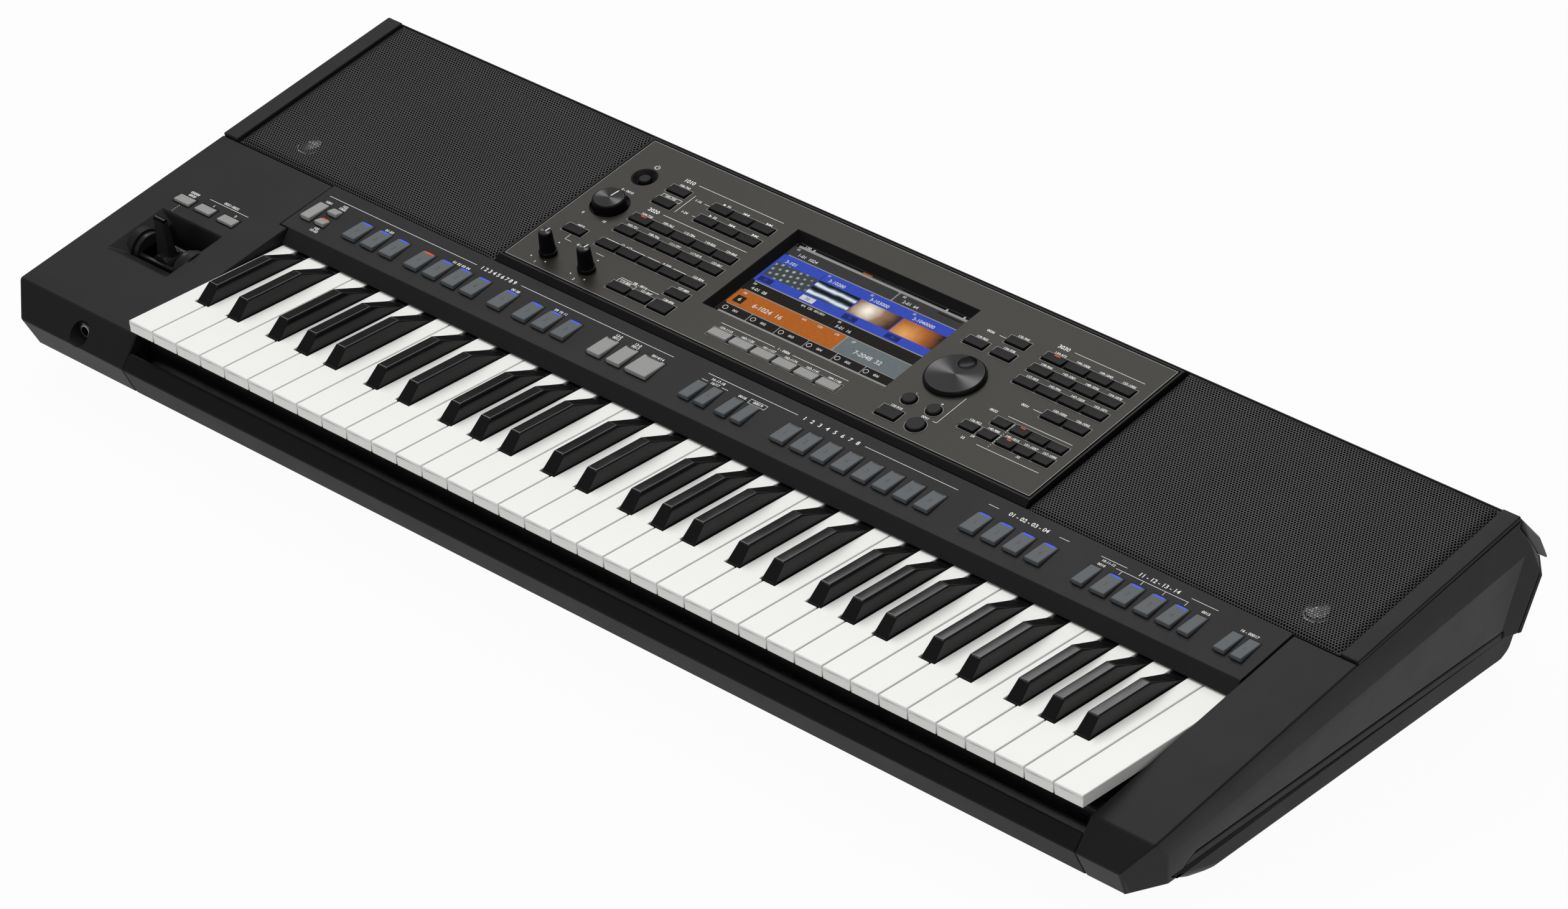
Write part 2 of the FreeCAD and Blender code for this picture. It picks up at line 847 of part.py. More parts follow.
def panel_boards():
    strip = box(keys_left, keys_right, strip_front + board_margin, strip_end - board_margin,
                -strip_board_depth - board_thickness, -strip_board_depth)
    half = frame_half_width - centre_board_margin
    centre = box(-half, half, frame_front + centre_board_margin, frame_end - centre_board_margin,
                 rear_deck_bottom - board_thickness, rear_deck_bottom)
    return on_deck(group([strip, centre]))


def grille_centre():
    return (frame_half_width + cap_inner) / 2


def speaker_s():
    return cap_front + (deck_length - cap_front) * woofer_back_share


def tweeter_places():
    x = cap_inner - tweeter_inset
    return [(side * x, cap_front + tweeter_back) for side in (-1, 1)]


def speaker_baffle():
    """Rear deck below the grilles and the centre panel."""
    plate = box(-cap_inner, cap_inner, rear_deck_front, deck_length - visor_wall,
                rear_deck_bottom, -rear_deck_drop)
    front_left = box(-cap_inner - overrun, keys_left, rear_deck_front - overrun, cap_front + seam_gap,
                     rear_deck_bottom - overrun, overrun)
    front_right = box(keys_right, cap_inner + overrun, rear_deck_front - overrun,
                      cap_front + seam_gap, rear_deck_bottom - overrun, overrun)
    cuts = [front_left, front_right]
    half = frame_half_width - centre_opening_margin
    cuts.append(box(-half, half, frame_front + centre_opening_margin, frame_end - centre_opening_margin,
                    rear_deck_bottom - overrun, overrun))
    for side in (-1, 1):
        cuts.append(rod_z(side * grille_centre(), speaker_s(), rear_deck_bottom - overrun, overrun,
                          woofer_radius + motion_gap))
    for x, s in tweeter_places():
        cuts.append(rod_z(x, s, rear_deck_bottom - overrun, overrun, tweeter_radius + motion_gap))
    return on_deck(plate.cut(cuts))


def woofer_frames():
    top = -rear_deck_drop
    flange = top + woofer_flange_thickness
    low = top - woofer_depth
    r = woofer_radius
    profile = [(r + woofer_flange, top), (r + woofer_flange, flange), (r - woofer_wall, flange),
               (woofer_magnet_radius - woofer_wall, low + woofer_wall), (0, low + woofer_wall), (0, low),
               (woofer_magnet_radius, low), (r, top - woofer_flange_thickness), (r, top)]
    return on_deck(group([turned(profile, side * grille_centre(), speaker_s()) for side in (-1, 1)]))


def woofer_cones():
    rim = -rear_deck_drop + woofer_flange_thickness
    throat = rim - cone_depth
    r = woofer_radius
    edge = r - 2 * woofer_wall
    profile = [(r + woofer_wall, rim), (r + woofer_wall, rim + cone_wall), (edge, rim + cone_wall),
               (cone_throat_radius, throat + cone_wall), (0, throat + 2 * cone_wall), (0, throat),
               (cone_throat_radius - cone_wall, throat), (edge - cone_wall, rim)]
    return on_deck(group([turned(profile, side * grille_centre(), speaker_s()) for side in (-1, 1)]))


def tweeters():
    top = -rear_deck_drop
    flange = top + woofer_flange_thickness
    r = tweeter_radius
    profile = [(r + woofer_wall * 2, top), (r + woofer_wall * 2, flange), (tweeter_dome_radius, flange),
               (tweeter_dome_radius * dome_shoulder_share, flange + tweeter_dome_rise / 2),
               (0, flange + tweeter_dome_rise), (0, top - tweeter_depth), (r, top - tweeter_depth), (r, top)]
    return on_deck(group([turned(profile, x, s) for x, s in tweeter_places()]))


def grille(side):
    """Pressed sheet with edges rolled down to the deck on all four sides."""
    x0, x1 = frame_half_width + grille_gap, cap_inner - grille_gap
    s0, s1 = cap_front + grille_gap, deck_length - grille_gap
    low, high = -grille_skirt, grille_rise

    def tray(inset, bottom, top):
        """Upright skirt with a bevelled shoulder."""
        a = rectangle_wire(x0 + inset, x1 - inset, s0 + inset, s1 - inset, bottom)
        b = rectangle_wire(x0 + inset, x1 - inset, s0 + inset, s1 - inset, top - grille_roll / 2)
        c = rectangle_wire(x0 + grille_roll, x1 - grille_roll, s0 + grille_roll, s1 - grille_roll, top)
        return fused([Part.makeLoft([a, b], True, True), Part.makeLoft([b, c], True, True)])

    sheet = tray(0, low, high).cut(tray(grille_sheet, low - overrun, high - grille_sheet))
    if side < 0:
        sheet = sheet.mirror(V(0, 0, 0), V(1, 0, 0))
    return on_deck(sheet)


def rear_cap(side):
    x0, x1 = sorted((side * cap_inner, side * half_width))
    cap = on_deck(box(x0, x1, cap_front + seam_gap, deck_length - seam_gap, -cap_seat, cap_proud))
    return cap.cut(rear_corner_cut(side, 0))


def rear_visor():
    front, foot = visor_inner()
    outline = [at(deck_end, deck_rise(deck_end)), at(tip_back - visor_knee_inset, visor_knee_rise),
               at(tip_back, -visor_tip_drop), foot, front]
    body = prism(outline, -half_width, half_width)
    return body.cut([rear_corner_cut(side, 0) for side in (-1, 1)])


def rear_jack_places():
    y, z = at(rear_wall_back, -rear_jack_drop)
    return [(case_width * share, y, z) for share in rear_jack_shares]


def port_places():
    """Opening of each rear port: middle across, half width, half height."""
    return [(case_width * usb_share, usb_width / 2, usb_height / 2),
            (case_width * host_share, host_width / 2, host_height / 2)]


def rear_panel():
    y0, y1 = at(rear_wall_back - rear_wall, 0)[0], at(rear_wall_back, 0)[0]
    bottom = at(0, -rear_rim_drop)[1]
    outline = [(y0, bottom), (y1, bottom), at(rear_wall_back, visor_lip(rear_wall_back)), visor_inner()[1]]
    body = prism(outline, -half_width, half_width)
    half = cap_inner - rear_flange_inset
    body = body.fuse(box(-half, half, at(rear_rim_inner, 0)[0] + seam_gap, y0, bottom, bottom + rear_wall))
    cuts = [rod_y(x, y0 - overrun, y1 + overrun, z, jack_barrel_radius + running_clearance)
            for x, _, z in rear_jack_places()]
    z = at(0, -rear_jack_drop)[1]
    for x, a, b in port_places():
        cuts.append(box(x - a - port_wall, x + a + port_wall, y0 - overrun, y1 + overrun,
                        z - b - port_wall, z + b + port_wall))
    x = case_width * inlet_share
    cuts.append(rod_y(x, y0 - overrun, y1 + overrun, z, inlet_radius + port_wall))
    body = body.removeSplitter().cut(cuts)
    return body.cut(side_cuts(-1, 0) + side_cuts(1, 0))


def rear_jacks():
    """Barrel, outer collar and a blind bore for a plug, on the rear panel."""
    jacks = []
    for x, y, z in rear_jack_places():
        barrel = rod_y(x, y - jack_length, y, z, jack_barrel_radius)
        collar = rod_y(x, y, y + jack_collar, z, jack_collar_radius)
        bore = rod_y(x, y - jack_length + case_wall, y + jack_collar + overrun, z, jack_bore_radius)
        jacks.append(barrel.fuse(collar).cut(bore).removeSplitter())
    return group(jacks)


def headphone_jack():
    y, z = jack_place()
    barrel = rod_y(jack_x, y, y + jack_length, z, jack_barrel_radius)
    collar = rod_y(jack_x, y - jack_collar, y, z, jack_collar_radius)
    bore = rod_y(jack_x, y - jack_collar - overrun, y + jack_length - case_wall, z, jack_bore_radius)
    return barrel.fuse(collar).cut(bore).removeSplitter()


def rear_ports():
    """Two data ports and the power inlet with its centre pin."""
    y, z = at(rear_wall_back, -rear_jack_drop)
    ports = []
    for x, a, b in port_places():
        shell = box(x - a - port_wall, x + a + port_wall, y - port_depth, y,
                    z - b - port_wall, z + b + port_wall)
        ports.append(shell.cut(box(x - a, x + a, y - port_depth + port_wall, y + overrun, z - b, z + b)))
    x = case_width * inlet_share
    tube = rod_y(x, y - port_depth, y, z, inlet_radius + port_wall)
    tube = tube.cut(rod_y(x, y - port_depth + port_wall, y + overrun, z, inlet_radius))
    pin = rod_y(x, y - port_depth, y - port_wall, z, inlet_pin_radius)
    ports.append(tube.fuse(pin).removeSplitter())
    return group(ports)


def panel_frame():
    """Raised frame round the centre plate, with a sloped front and a ledge below the plate."""
    outline = [(frame_front, frame_floor), (frame_front, 0), (frame_front + frame_bevel, frame_rise),
               (frame_end, frame_rise), (frame_end, frame_floor)]
    body = prism(outline, -frame_half_width, frame_half_width)
    rim = frame_half_width - frame_rim
    ledge = plate_half_width - frame_ledge
    recess = box(-rim, rim, plate_front - plate_groove, plate_end + plate_groove,
                 plate_floor, frame_rise + overrun)
    opening = box(-ledge, ledge, plate_front + frame_ledge / 2, plate_end - frame_ledge / 2,
                  frame_floor - overrun, frame_rise)
    return on_deck(body.cut(recess).cut(opening))


def left_x(share):
    return left_field_width * share - plate_half_width


def right_x(share):
    return screen_right + right_field_width * share


def narrowest(shares):
    return min(b - a for a, b in zip(shares, shares[1:]))


def button_width():
    """As wide as the closest columns of the three fields allow."""
    steps = (left_field_width * narrowest(left_column_shares), screen_width * assign_step_share,
             right_field_width * narrowest(right_column_shares))
    return min(steps) - button_web


def part_button_width():
    return right_field_width * narrowest(part_column_shares) - part_button_web


def plate_s(share):
    return plate_front + plate_length * share


def left_button_table():
    rows = []
    low, mixer, tempo, style_low, style_high, audio, midi = [plate_s(share) for share in row_shares]
    columns = [left_x(share) for share in left_column_shares]
    for s in (tempo, style_low, style_high):
        rows += [(x, s, button_width(), button_length) for x in columns]
    for s in (audio, midi):
        rows += [(x, s, button_width(), button_length) for x in columns[:1] + columns[2:]]
    rows.append((columns[-1], mixer, button_width(), button_length))
    rows.append((columns[-1], low, button_width(), tall_button_length))
    rows += [(x, low, button_width(), button_length) for x in columns[2:4]]
    rows.append((left_x(assign_button_share), tempo, button_width(), button_length))
    return rows


def right_button_table():
    rows = []
    columns = [right_x(share) for share in right_column_shares]
    for share in voice_row_shares:
        rows += [(x, plate_s(share), button_width(), button_length) for x in columns]
    rows += [(x, plate_s(effect_row_share), button_width(), button_length) for x in columns[2:]]
    parts = [right_x(share) for share in part_column_shares]
    low, high = [plate_s(share) for share in part_row_shares]
    rows += [(x, low, part_button_width(), button_length) for x in parts]
    rows += [(x, high, part_button_width(), button_length) for x in parts[1:]]
    left, right = [right_x(share) for share in menu_column_shares]
    audio, midi = [plate_s(share) for share in row_shares[-2:]]
    rows += [(left, audio, button_width(), button_length), (right, audio, button_width(), button_length)]
    rows.append((right, midi, button_width(), button_length))
    rows.append((left, plate_s(row_shares[0]), button_width(), tall_button_length))
    return rows


def round_button_table():
    left, right = [right_x(share) for share in step_column_shares]
    s = plate_s(step_row_share)
    return [(left, s, round_button_radius), (right, s, round_button_radius),
            (right, plate_s(row_shares[0]), enter_button_radius)]


def assign_button_table():
    shares = stepped(assign_first_share, assign_step_share, assign_count)
    return [(screen_left + screen_width * share, plate_s(row_shares[0]), button_width(), button_length)
            for share in shares]


def panel_buttons(table):
    return [button(x, s, w, n, frame_rise) for x, s, w, n in table]


def round_button(x, s, radius):
    top = frame_rise + button_front_rise
    profile = [(0, frame_rise - button_root), (radius, frame_rise - button_root), (radius, top - knob_edge),
               (radius - knob_edge, top), (0, top)]
    return turned(profile, x, s)


def right_buttons():
    rounds = [round_button(x, s, r) for x, s, r in round_button_table()]
    return on_deck(group(panel_buttons(right_button_table()) + rounds))


def knob_places():
    """Volume, the two live controls and the dial: across and back on the plate."""
    places = [(left_x(a), plate_s(b)) for a, b in (volume_place_shares,) + live_place_shares]
    a, b = dial_place_shares
    return places + [(right_x(a), plate_s(b))]


def power_place():
    a, b = power_place_shares
    return left_x(a), plate_s(b)


def screen_edges(margin):
    """Edges of the screen's window, widened by a margin: left, right, front, rear."""
    front, rear = plate_front + screen_front_margin, plate_end - screen_rear_margin
    return screen_left - margin, screen_right + margin, front - margin, rear + margin


def centre_panel():
    """Thin plate with its window, button holes and knob holes."""
    plate = box(-plate_half_width, plate_half_width, plate_front, plate_end, plate_floor, frame_rise)
    x0, x1, s0, s1 = screen_edges(0)
    cuts = [box(x0, x1, s0, s1, plate_floor - overrun, frame_rise + overrun)]
    for x, s, w, n in left_button_table() + right_button_table() + assign_button_table():
        cuts.append(button_hole(x, s, w, n, frame_rise, plate_thickness))
    rounds = [(x, s, r + button_clearance) for x, s, r in round_button_table()]
    volume, live_one, live_two, dial = knob_places()
    rounds.append(volume + (volume_dish_radius + running_clearance,))
    rounds += [place + (shaft_radius + motion_gap,) for place in (live_one, live_two, dial)]
    rounds.append(power_place() + (power_dish_radius + running_clearance,))
    for x, s, r in rounds:
        cuts.append(rod_z(x, s, plate_floor - overrun, frame_rise + overrun, r))
    return on_deck(plate.cut(cuts))


def dish(x, s, inner, floor_radius, outer, floor):
    """Flanged cup set into the plate from below."""
    top = frame_rise - dish_lip / 2
    profile = [(inner, floor), (floor_radius, floor), (outer - dish_lip, top), (outer, top),
               (outer, plate_floor), (outer + dish_flange, plate_floor),
               (outer + dish_flange, plate_floor - dish_wall),
               (floor_radius + dish_flange, floor - dish_wall), (inner, floor - dish_wall)]
    return turned(profile, x, s)


def panel_bezels():
    """Tapered screen surround, volume dish and power dish."""
    low = plate_floor - bezel_depth
    x0, x1, s0, s1 = screen_edges(bezel_flange)
    solid = box(x0, x1, s0, s1, low, plate_floor)
    top = rectangle_wire(*screen_edges(0), plate_floor)
    foot = rectangle_wire(*screen_edges(-bezel_taper), low)
    surround = solid.cut(Part.makeLoft([top, foot], True, True))
    volume = knob_places()[0]
    cup = dish(volume[0], volume[1], shaft_radius + motion_gap, volume_radius + knob_edge,
               volume_dish_radius, plate_floor - volume_sink - motion_gap - knob_edge)
    power = power_place()
    ring = dish(power[0], power[1], power_radius + button_clearance, power_radius + knob_edge,
                power_dish_radius, plate_floor - button_travel - knob_edge)
    return on_deck(group([surround, cup, ring]))


def glass_top():
    return plate_floor - bezel_depth


def touch_screen():
    x0, x1, s0, s1 = screen_edges(glass_margin)
    return on_deck(box(x0, x1, s0, s1, glass_top() - glass_thickness, glass_top()))


def lcd_module():
    x0, x1, s0, s1 = screen_edges(lcd_margin)
    top = glass_top() - glass_thickness
    return on_deck(box(x0, x1, s0, s1, top - lcd_thickness, top))


def shaft_end():
    return rear_deck_bottom + pot_height / 2


def rotary_controls():
    """Potentiometers and the dial encoder, standing on the centre board."""
    half = pot_size / 2
    bodies = []
    for x, s in knob_places():
        top = rear_deck_bottom + pot_height
        body = box(x - half, x + half, s - half, s + half, rear_deck_bottom, top)
        bodies.append(body.cut(rod_z(x, s, shaft_end() - motion_gap, top + overrun,
                                     shaft_radius + running_clearance)))
    return on_deck(group(bodies))


def knob(place, profile):
    x, s = place
    body = turned(profile, x, s)
    shaft = rod_z(x, s, shaft_end(), profile[0][1], shaft_radius)
    return fused([body, shaft])


def volume_knob():
    low = plate_floor - volume_sink - knob_edge
    top = low + volume_height
    r = volume_radius
    profile = [(0, low), (r, low), (r - knob_edge / 2, top - knob_edge), (r - 2 * knob_edge, top), (0, top)]
    return on_deck(knob(knob_places()[0], profile))


def live_knob(number):
    low = frame_rise + motion_gap
    top = low + live_height
    r = live_base_radius
    profile = [(0, low), (r, low), (r, low + live_skirt), (r - knob_edge, low + live_skirt),
               (live_top_radius, top - knob_edge), (live_top_radius - knob_edge, top), (0, top)]
    return on_deck(knob(knob_places()[number], profile))


def data_dial():
    """Wide dial with a dished top and a finger dimple."""
    place = knob_places()[3]
    low = frame_rise + motion_gap
    top = low + dial_height
    r = dial_radius
    profile = [(0, low), (r, low), (r, top - 2 * knob_edge), (r - 2 * knob_edge, top),
               (r - 4 * knob_edge, top), (0, top - dial_dish)]
    body = knob(place, profile)
    depth = dial_dimple_depth
    sphere_radius = (dial_dimple_radius ** 2 + depth ** 2) / (2 * depth)
    ball = V(place[0], place[1] + r * dial_dimple_share, top - dial_dish / 2 - depth + sphere_radius)
    return on_deck(body.cut(Part.makeSphere(sphere_radius, ball)))


def power_button():
    x, s = power_place()
    top = frame_rise - power_rise
    profile = [(0, plate_floor - button_root), (power_radius, plate_floor - button_root),
               (power_radius, top - knob_edge), (power_radius - knob_edge, top), (0, top)]
    return on_deck(turned(profile, x, s))


def joystick_buttons():
    return on_deck(group([button(x, joystick_button_back, joystick_button_width, button_length, 0)
                          for x in joystick_button_x()]))


def joystick_cradle():
    """Drum with two round ends and a slot for the lever, turning fore and aft on its end pins."""
    x, s, w = joystick_x, joystick_s, -hub_drop
    outer, inner = cradle_half_width, cradle_half_width - disc_thickness
    discs = [rod_x(x - outer, x - inner, s, w, disc_radius), rod_x(x + inner, x + outer, s, w, disc_radius)]
    drum = rod_x(x - inner, x + inner, s, w, disc_radius - motion_gap)
    half = cradle_half_length
    drum = drum.common(box(x - outer, x + outer, s - half, s + half, w - disc_radius, w + cradle_crown))
    tip = outer + disc_clearance + stick_pin_length
    pins = [rod_x(x - tip, x - outer, s, w, stick_pin_radius),
            rod_x(x + outer, x + tip, s, w, stick_pin_radius)]
    slot_half = half - cradle_plate
    slot = box(x - inner, x + inner, s - slot_half, s + slot_half,
               w - hub_radius - 2 * motion_gap, w + disc_radius)
    bearing = rod_y(x, s - half - overrun, s + half + overrun, w, stick_pin_radius + running_clearance)
    return on_deck(fused(discs + pins + [drum.cut(slot)]).cut(bearing))


def joystick_lever():
    """Lever on a hub that leans left and right in the drum."""
    x, s, w = joystick_x, joystick_s, -hub_drop
    half_hub = cradle_half_length - cradle_plate - motion_gap
    hub = rod_y(x, s - half_hub, s + half_hub, w, hub_radius)
    axle = rod_y(x, s - cradle_half_length, s + cradle_half_length, w, stick_pin_radius)
    half = lever_width / 2
    root, tip = lever_thickness / 2, lever_thickness * lever_tip_share
    outline = [(s - root, w), (s - tip, lever_rise - tip), (s - tip / 2, lever_rise),
               (s + tip / 2, lever_rise), (s + tip, lever_rise - tip), (s + root, w)]
    return on_deck(fused([hub, axle, prism(outline, x - half, x + half)]))


octave = ("c", "c_sharp", "d", "d_sharp", "e", "f", "f_sharp", "g", "g_sharp", "a", "a_sharp", "b")
white_letters = ("c", "d", "e", "f", "g", "a", "b")
black_shifts = {"c": -black_shift_pair, "d": black_shift_pair, "f": -black_shift_triple, "g": 0,
                "a": black_shift_triple}


def black_centre(index):
    """Middle of the black key that follows a white key, or None."""
    letter = white_letters[index % len(white_letters)]
    if letter not in black_shifts or not 0 <= index < white_count - 1:
        return None
    return keys_left + white_pitch * (index + 1) + black_shifts[letter]


def white_edges(index):
    """Left and right edges of a white key at the front, and behind the black keys' fronts."""
    left = keys_left + white_pitch * index + key_gap / 2
    right = left + white_pitch - key_gap
    notch = black_width / 2 + key_gap
    before, after = black_centre(index - 1), black_centre(index)
    rear_left = left if before is None else before + notch
    rear_right = right if after is None else after - notch
    return left, right, rear_left, rear_right


def pivot():
    return at(pivot_back, -pivot_drop)


def key_bore():
    y, z = pivot()
    return rod_x(keys_left - overrun, keys_right + overrun, y, z, rod_radius + running_clearance)


def white_key(index):
    """Hollow key with a front lip, cut back beside the black keys, turning on the rod."""
    left, right, rear_left, rear_right = white_edges(index)
    y0, top = at(0, 0)
    notch_y = at(black_front - key_gap, 0)[0]
    heel_y = at(pivot_back + key_heel, 0)[0]
    low, skin = top - key_depth, top - key_skin
    solid = fused([box(left, right, y0, notch_y, low, top),
                   box(rear_left, rear_right, notch_y, heel_y, low, top)])
    cavity_end = at(pivot_back - 2 * key_heel, 0)[0]
    wall = key_wall
    front_room = box(left + wall, right - wall, y0 + wall, notch_y - wall, low - overrun, skin)
    rear_room = box(rear_left + wall, rear_right - wall, notch_y - 2 * wall, cavity_end,
                    low - overrun, skin)
    lip = box(left - overrun, right + overrun, y0 - overrun, y0 + lip_depth,
              low - overrun, top - lip_height)
    cuts = [front_room.fuse(rear_room), lip, key_bore()]
    bracket = bracket_width + 2 * key_gap
    bracket_y = at(bracket_front, 0)[0]
    if index == 0:
        cuts.append(box(left - overrun, left + bracket, bracket_y, heel_y + overrun,
                        low - overrun, top + overrun))
    if index == white_count - 1:
        cuts.append(box(right - bracket, right + overrun, bracket_y, heel_y + overrun,
                        low - overrun, top + overrun))
    return solid.cut(cuts)


def black_key(index):
    """Sharp with a sloped front, leaning sides and a low tail under the fall board."""
    x = black_centre(index)
    half, top_half = black_width / 2, black_top_width / 2
    outline = [at(black_front, -key_depth), at(black_front, 0), at(black_front + black_slope, black_rise),
               at(black_shoulder, black_rise), at(visible_length, -black_sink),
               at(pivot_back + key_heel, -black_sink), at(pivot_back + key_heel, -key_depth)]
    body = prism(outline, x - half, x + half).cut(key_bore())
    low, high = at(0, 0)[1], at(0, black_rise)[1]
    y0, y1 = at(black_front, 0)[0], at(visible_length, 0)[0]
    kept = V(x, y0, low)
    for side in (-1, 1):
        points = (V(x + side * half, y0, low), V(x + side * half, y1, low),
                  V(x + side * top_half, y0, high))
        body = body.cut(far_side(points, kept))
    return body


def keys_named(name):
    """Every key of one note name, along the whole keyboard."""
    letter = name[0]
    found = []
    for index in range(white_count):
        if white_letters[index % len(white_letters)] != letter:
            continue
        if name == letter:
            found.append(white_key(index))
        elif black_centre(index) is not None:
            found.append(black_key(index))
    return group(found)


def key_frame():
    """Steel tray below the keys: base, stop upstand, contact ribs and the rod's end brackets."""
    x0, x1 = keys_left + key_gap, keys_right - key_gap
    low = at(0, -frame_drop)[1]
    high = low + frame_plate
    base = box(x0, x1, at(frame_start, 0)[0], at(frame_stop, 0)[0], low, high)
    stop_y = at(stop_start, 0)[0]
    upstand = box(x0, x1, stop_y, stop_y + stop_width, high, stop_top() - felt_thickness)
    board_low = at(0, -contact_drop)[1] - board_thickness
    ribs = []
    for back in (contact_start, contact_start + contact_width - contact_rib):
        ribs.append(box(x0, x1, at(back, 0)[0], at(back, 0)[0] + contact_rib, high, board_low))
    y, z = pivot()
    brackets = []
    for left in (x0, x1 - bracket_width):
        brackets.append(box(left, left + bracket_width, y - bracket_length / 2, y + bracket_length / 2,
                            high, z + pivot_drop))
    return fused([base, upstand] + ribs + brackets).cut(key_bore())


def stop_top():
    """Just below a fully pressed key, at the stop."""
    drop_there = key_dip * (pivot_back - stop_start) / pivot_back
    return at(0, -key_depth - drop_there - motion_gap)[1]


def stop_felts():
    y = at(stop_start, 0)[0]
    return box(keys_left + key_gap, keys_right - key_gap, y, y + stop_width,
               stop_top() - felt_thickness, stop_top())


def pivot_rod():
    y, z = pivot()
    return rod_x(keys_left + key_gap, keys_right - key_gap, y, z, rod_radius)


def contact_board():
    z = at(0, -contact_drop)[1]
    return box(keys_left + key_gap, keys_right - key_gap, at(contact_start, 0)[0],
               at(contact_start + contact_width, 0)[0], z - board_thickness, z)


def contact_rubber():
    """Rubber strip with one dome below each key."""
    z = at(0, -contact_drop)[1]
    y = at(contact_start + contact_width / 2, 0)[0]
    strip = box(keys_left + key_gap, keys_right - key_gap, y - rubber_width / 2, y + rubber_width / 2,
                z, z + rubber_base)
    middles = []
    for index in range(white_count):
        left, right, rear_left, rear_right = white_edges(index)
        middles.append((rear_left + rear_right) / 2)
        if black_centre(index) is not None:
            middles.append(black_centre(index))
    room = contact_drop - key_depth - rubber_base
    domes = [Part.makeCone(dome_radius, dome_tip_radius, room * dome_share, V(x, y, z + rubber_base))
             for x in middles]
    return fused([strip] + domes)


def floor_board(number):
    x, y, a, b = board_places()[number]
    z = at(0, -floor_drop)[1] + case_wall + boss_height
    board = box(x - a, x + a, y - b, y + b, z, z + board_thickness)
    chips = []
    for place in (-1, 0, 1):
        cx = x + place * a / 2
        chips.append(box(cx - chip_size / 2, cx + chip_size / 2, y - chip_size / 2, y + chip_size / 2,
                         z + board_thickness, z + board_thickness + chip_height))
    return fused([board] + chips)


nodes = {
    "lower_case": lower_case(),
    "left_cheek": left_cheek(),
    "right_cheek": right_cheek(),
    "front_rail": front_rail(),
    "control_strip": control_strip(),
    "speaker_baffle": speaker_baffle(),
    "speaker_grille_left": grille(-1),
    "speaker_grille_right": grille(1),
    "rear_caps": group([rear_cap(-1), rear_cap(1)]),
    "rear_visor": rear_visor(),
    "rear_panel": rear_panel(),
    "panel_frame": panel_frame(),
    "centre_panel": centre_panel(),
    "panel_bezels": panel_bezels(),
    "touch_screen": touch_screen(),
    "lcd_module": lcd_module(),
    "panel_boards": panel_boards(),
    "rotary_controls": rotary_controls(),
    "woofer_frames": woofer_frames(),
    "woofer_cones": woofer_cones(),
    "tweeters": tweeters(),
    "floor_boards": group([floor_board(0), floor_board(1)]),
    "rubber_feet": rubber_feet(),
    "case_screws": case_screws(),
    "headphone_jack": headphone_jack(),
    "rear_jacks": rear_jacks(),
    "rear_ports": rear_ports(),
    "key_frame": key_frame(),
    "pivot_rod": pivot_rod(),
    "contact_board": contact_board(),
    "contact_rubber": contact_rubber(),
    "stop_felts": stop_felts(),
    "joystick_cradle": joystick_cradle(),
    "joystick_lever": joystick_lever(),
    "joystick_buttons": joystick_buttons(),
    "volume_knob": volume_knob(),
    "live_knob_1": live_knob(1),
    "live_knob_2": live_knob(2),
    "data_dial": data_dial(),
    "power_button": power_button(),
    "style_pads": pads("style"),
    "transport_pads": pads("transport"),
    "registration_pads": pads("registration"),
    "one_touch_pads": pads("one_touch"),
    "multi_pads": pads("multi"),
    "panel_buttons_left": on_deck(group(panel_buttons(left_button_table()))),
    "panel_buttons_right": right_buttons(),
    "assign_buttons": on_deck(group(panel_buttons(assign_button_table()))),
}
for note in octave:
    nodes["key_" + note] = keys_named(note)

os.makedirs("parts", exist_ok=True)
for name, shape in nodes.items():
    shape.exportStep("parts/" + name + ".step")
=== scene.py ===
import math

import bmesh
import bpy
from bpy.props import FloatProperty, FloatVectorProperty, PointerProperty
from mathutils import Matrix, Vector


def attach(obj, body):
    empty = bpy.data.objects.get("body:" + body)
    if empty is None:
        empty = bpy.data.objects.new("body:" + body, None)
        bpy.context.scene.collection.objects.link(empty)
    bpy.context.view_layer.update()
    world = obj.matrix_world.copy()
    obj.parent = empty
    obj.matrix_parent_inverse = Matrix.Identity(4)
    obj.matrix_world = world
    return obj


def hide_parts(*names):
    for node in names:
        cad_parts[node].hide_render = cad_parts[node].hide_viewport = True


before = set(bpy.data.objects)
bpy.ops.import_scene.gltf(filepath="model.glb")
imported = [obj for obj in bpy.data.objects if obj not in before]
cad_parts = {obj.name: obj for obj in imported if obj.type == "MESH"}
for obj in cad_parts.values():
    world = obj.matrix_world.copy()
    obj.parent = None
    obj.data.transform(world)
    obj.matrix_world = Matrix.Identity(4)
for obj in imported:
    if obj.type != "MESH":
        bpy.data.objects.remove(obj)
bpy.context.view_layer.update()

bl_info = {
    "name": "Arranger keyboard finishes",
    "version": (1, 0, 0),
    "blender": (4, 5, 0),
    "location": "View3D > Sidebar > Keyboard",
    "description": "Dresses the solids of an arranger keyboard with rounded, printed and lit pieces",
    "category": "Object",
}

MM = 0.001
DECK_ANGLE = math.radians(10.58)
DECK = Matrix.Translation((0.0, -0.208, 0.0681)) @ Matrix.Rotation(DECK_ANGLE, 4, "X")
OFF_DECK = DECK.inverted()

# Heights above the deck and thicknesses, in millimetres
STRIP_TOP = 0.0
PLATE_TOP = 3.0
GLASS_TOP = -4.2
PRINT_LIFT = 0.04
TILE_HEIGHT = 0.05

# Edges crease above an angle, which is slighter where both faces are broad (in square metres)
CREASE = math.radians(32.0)
BROAD_CREASE = math.radians(7.0)
BROAD_FACE = 6e-5
# Points closer than this, in metres, are one, and sizes closer than this, in millimetres, are the same
WELD = 2e-6
ALIKE = 0.5

NOTES = ("c", "c_sharp", "d", "d_sharp", "e", "f", "f_sharp", "g", "g_sharp", "a", "a_sharp", "b")


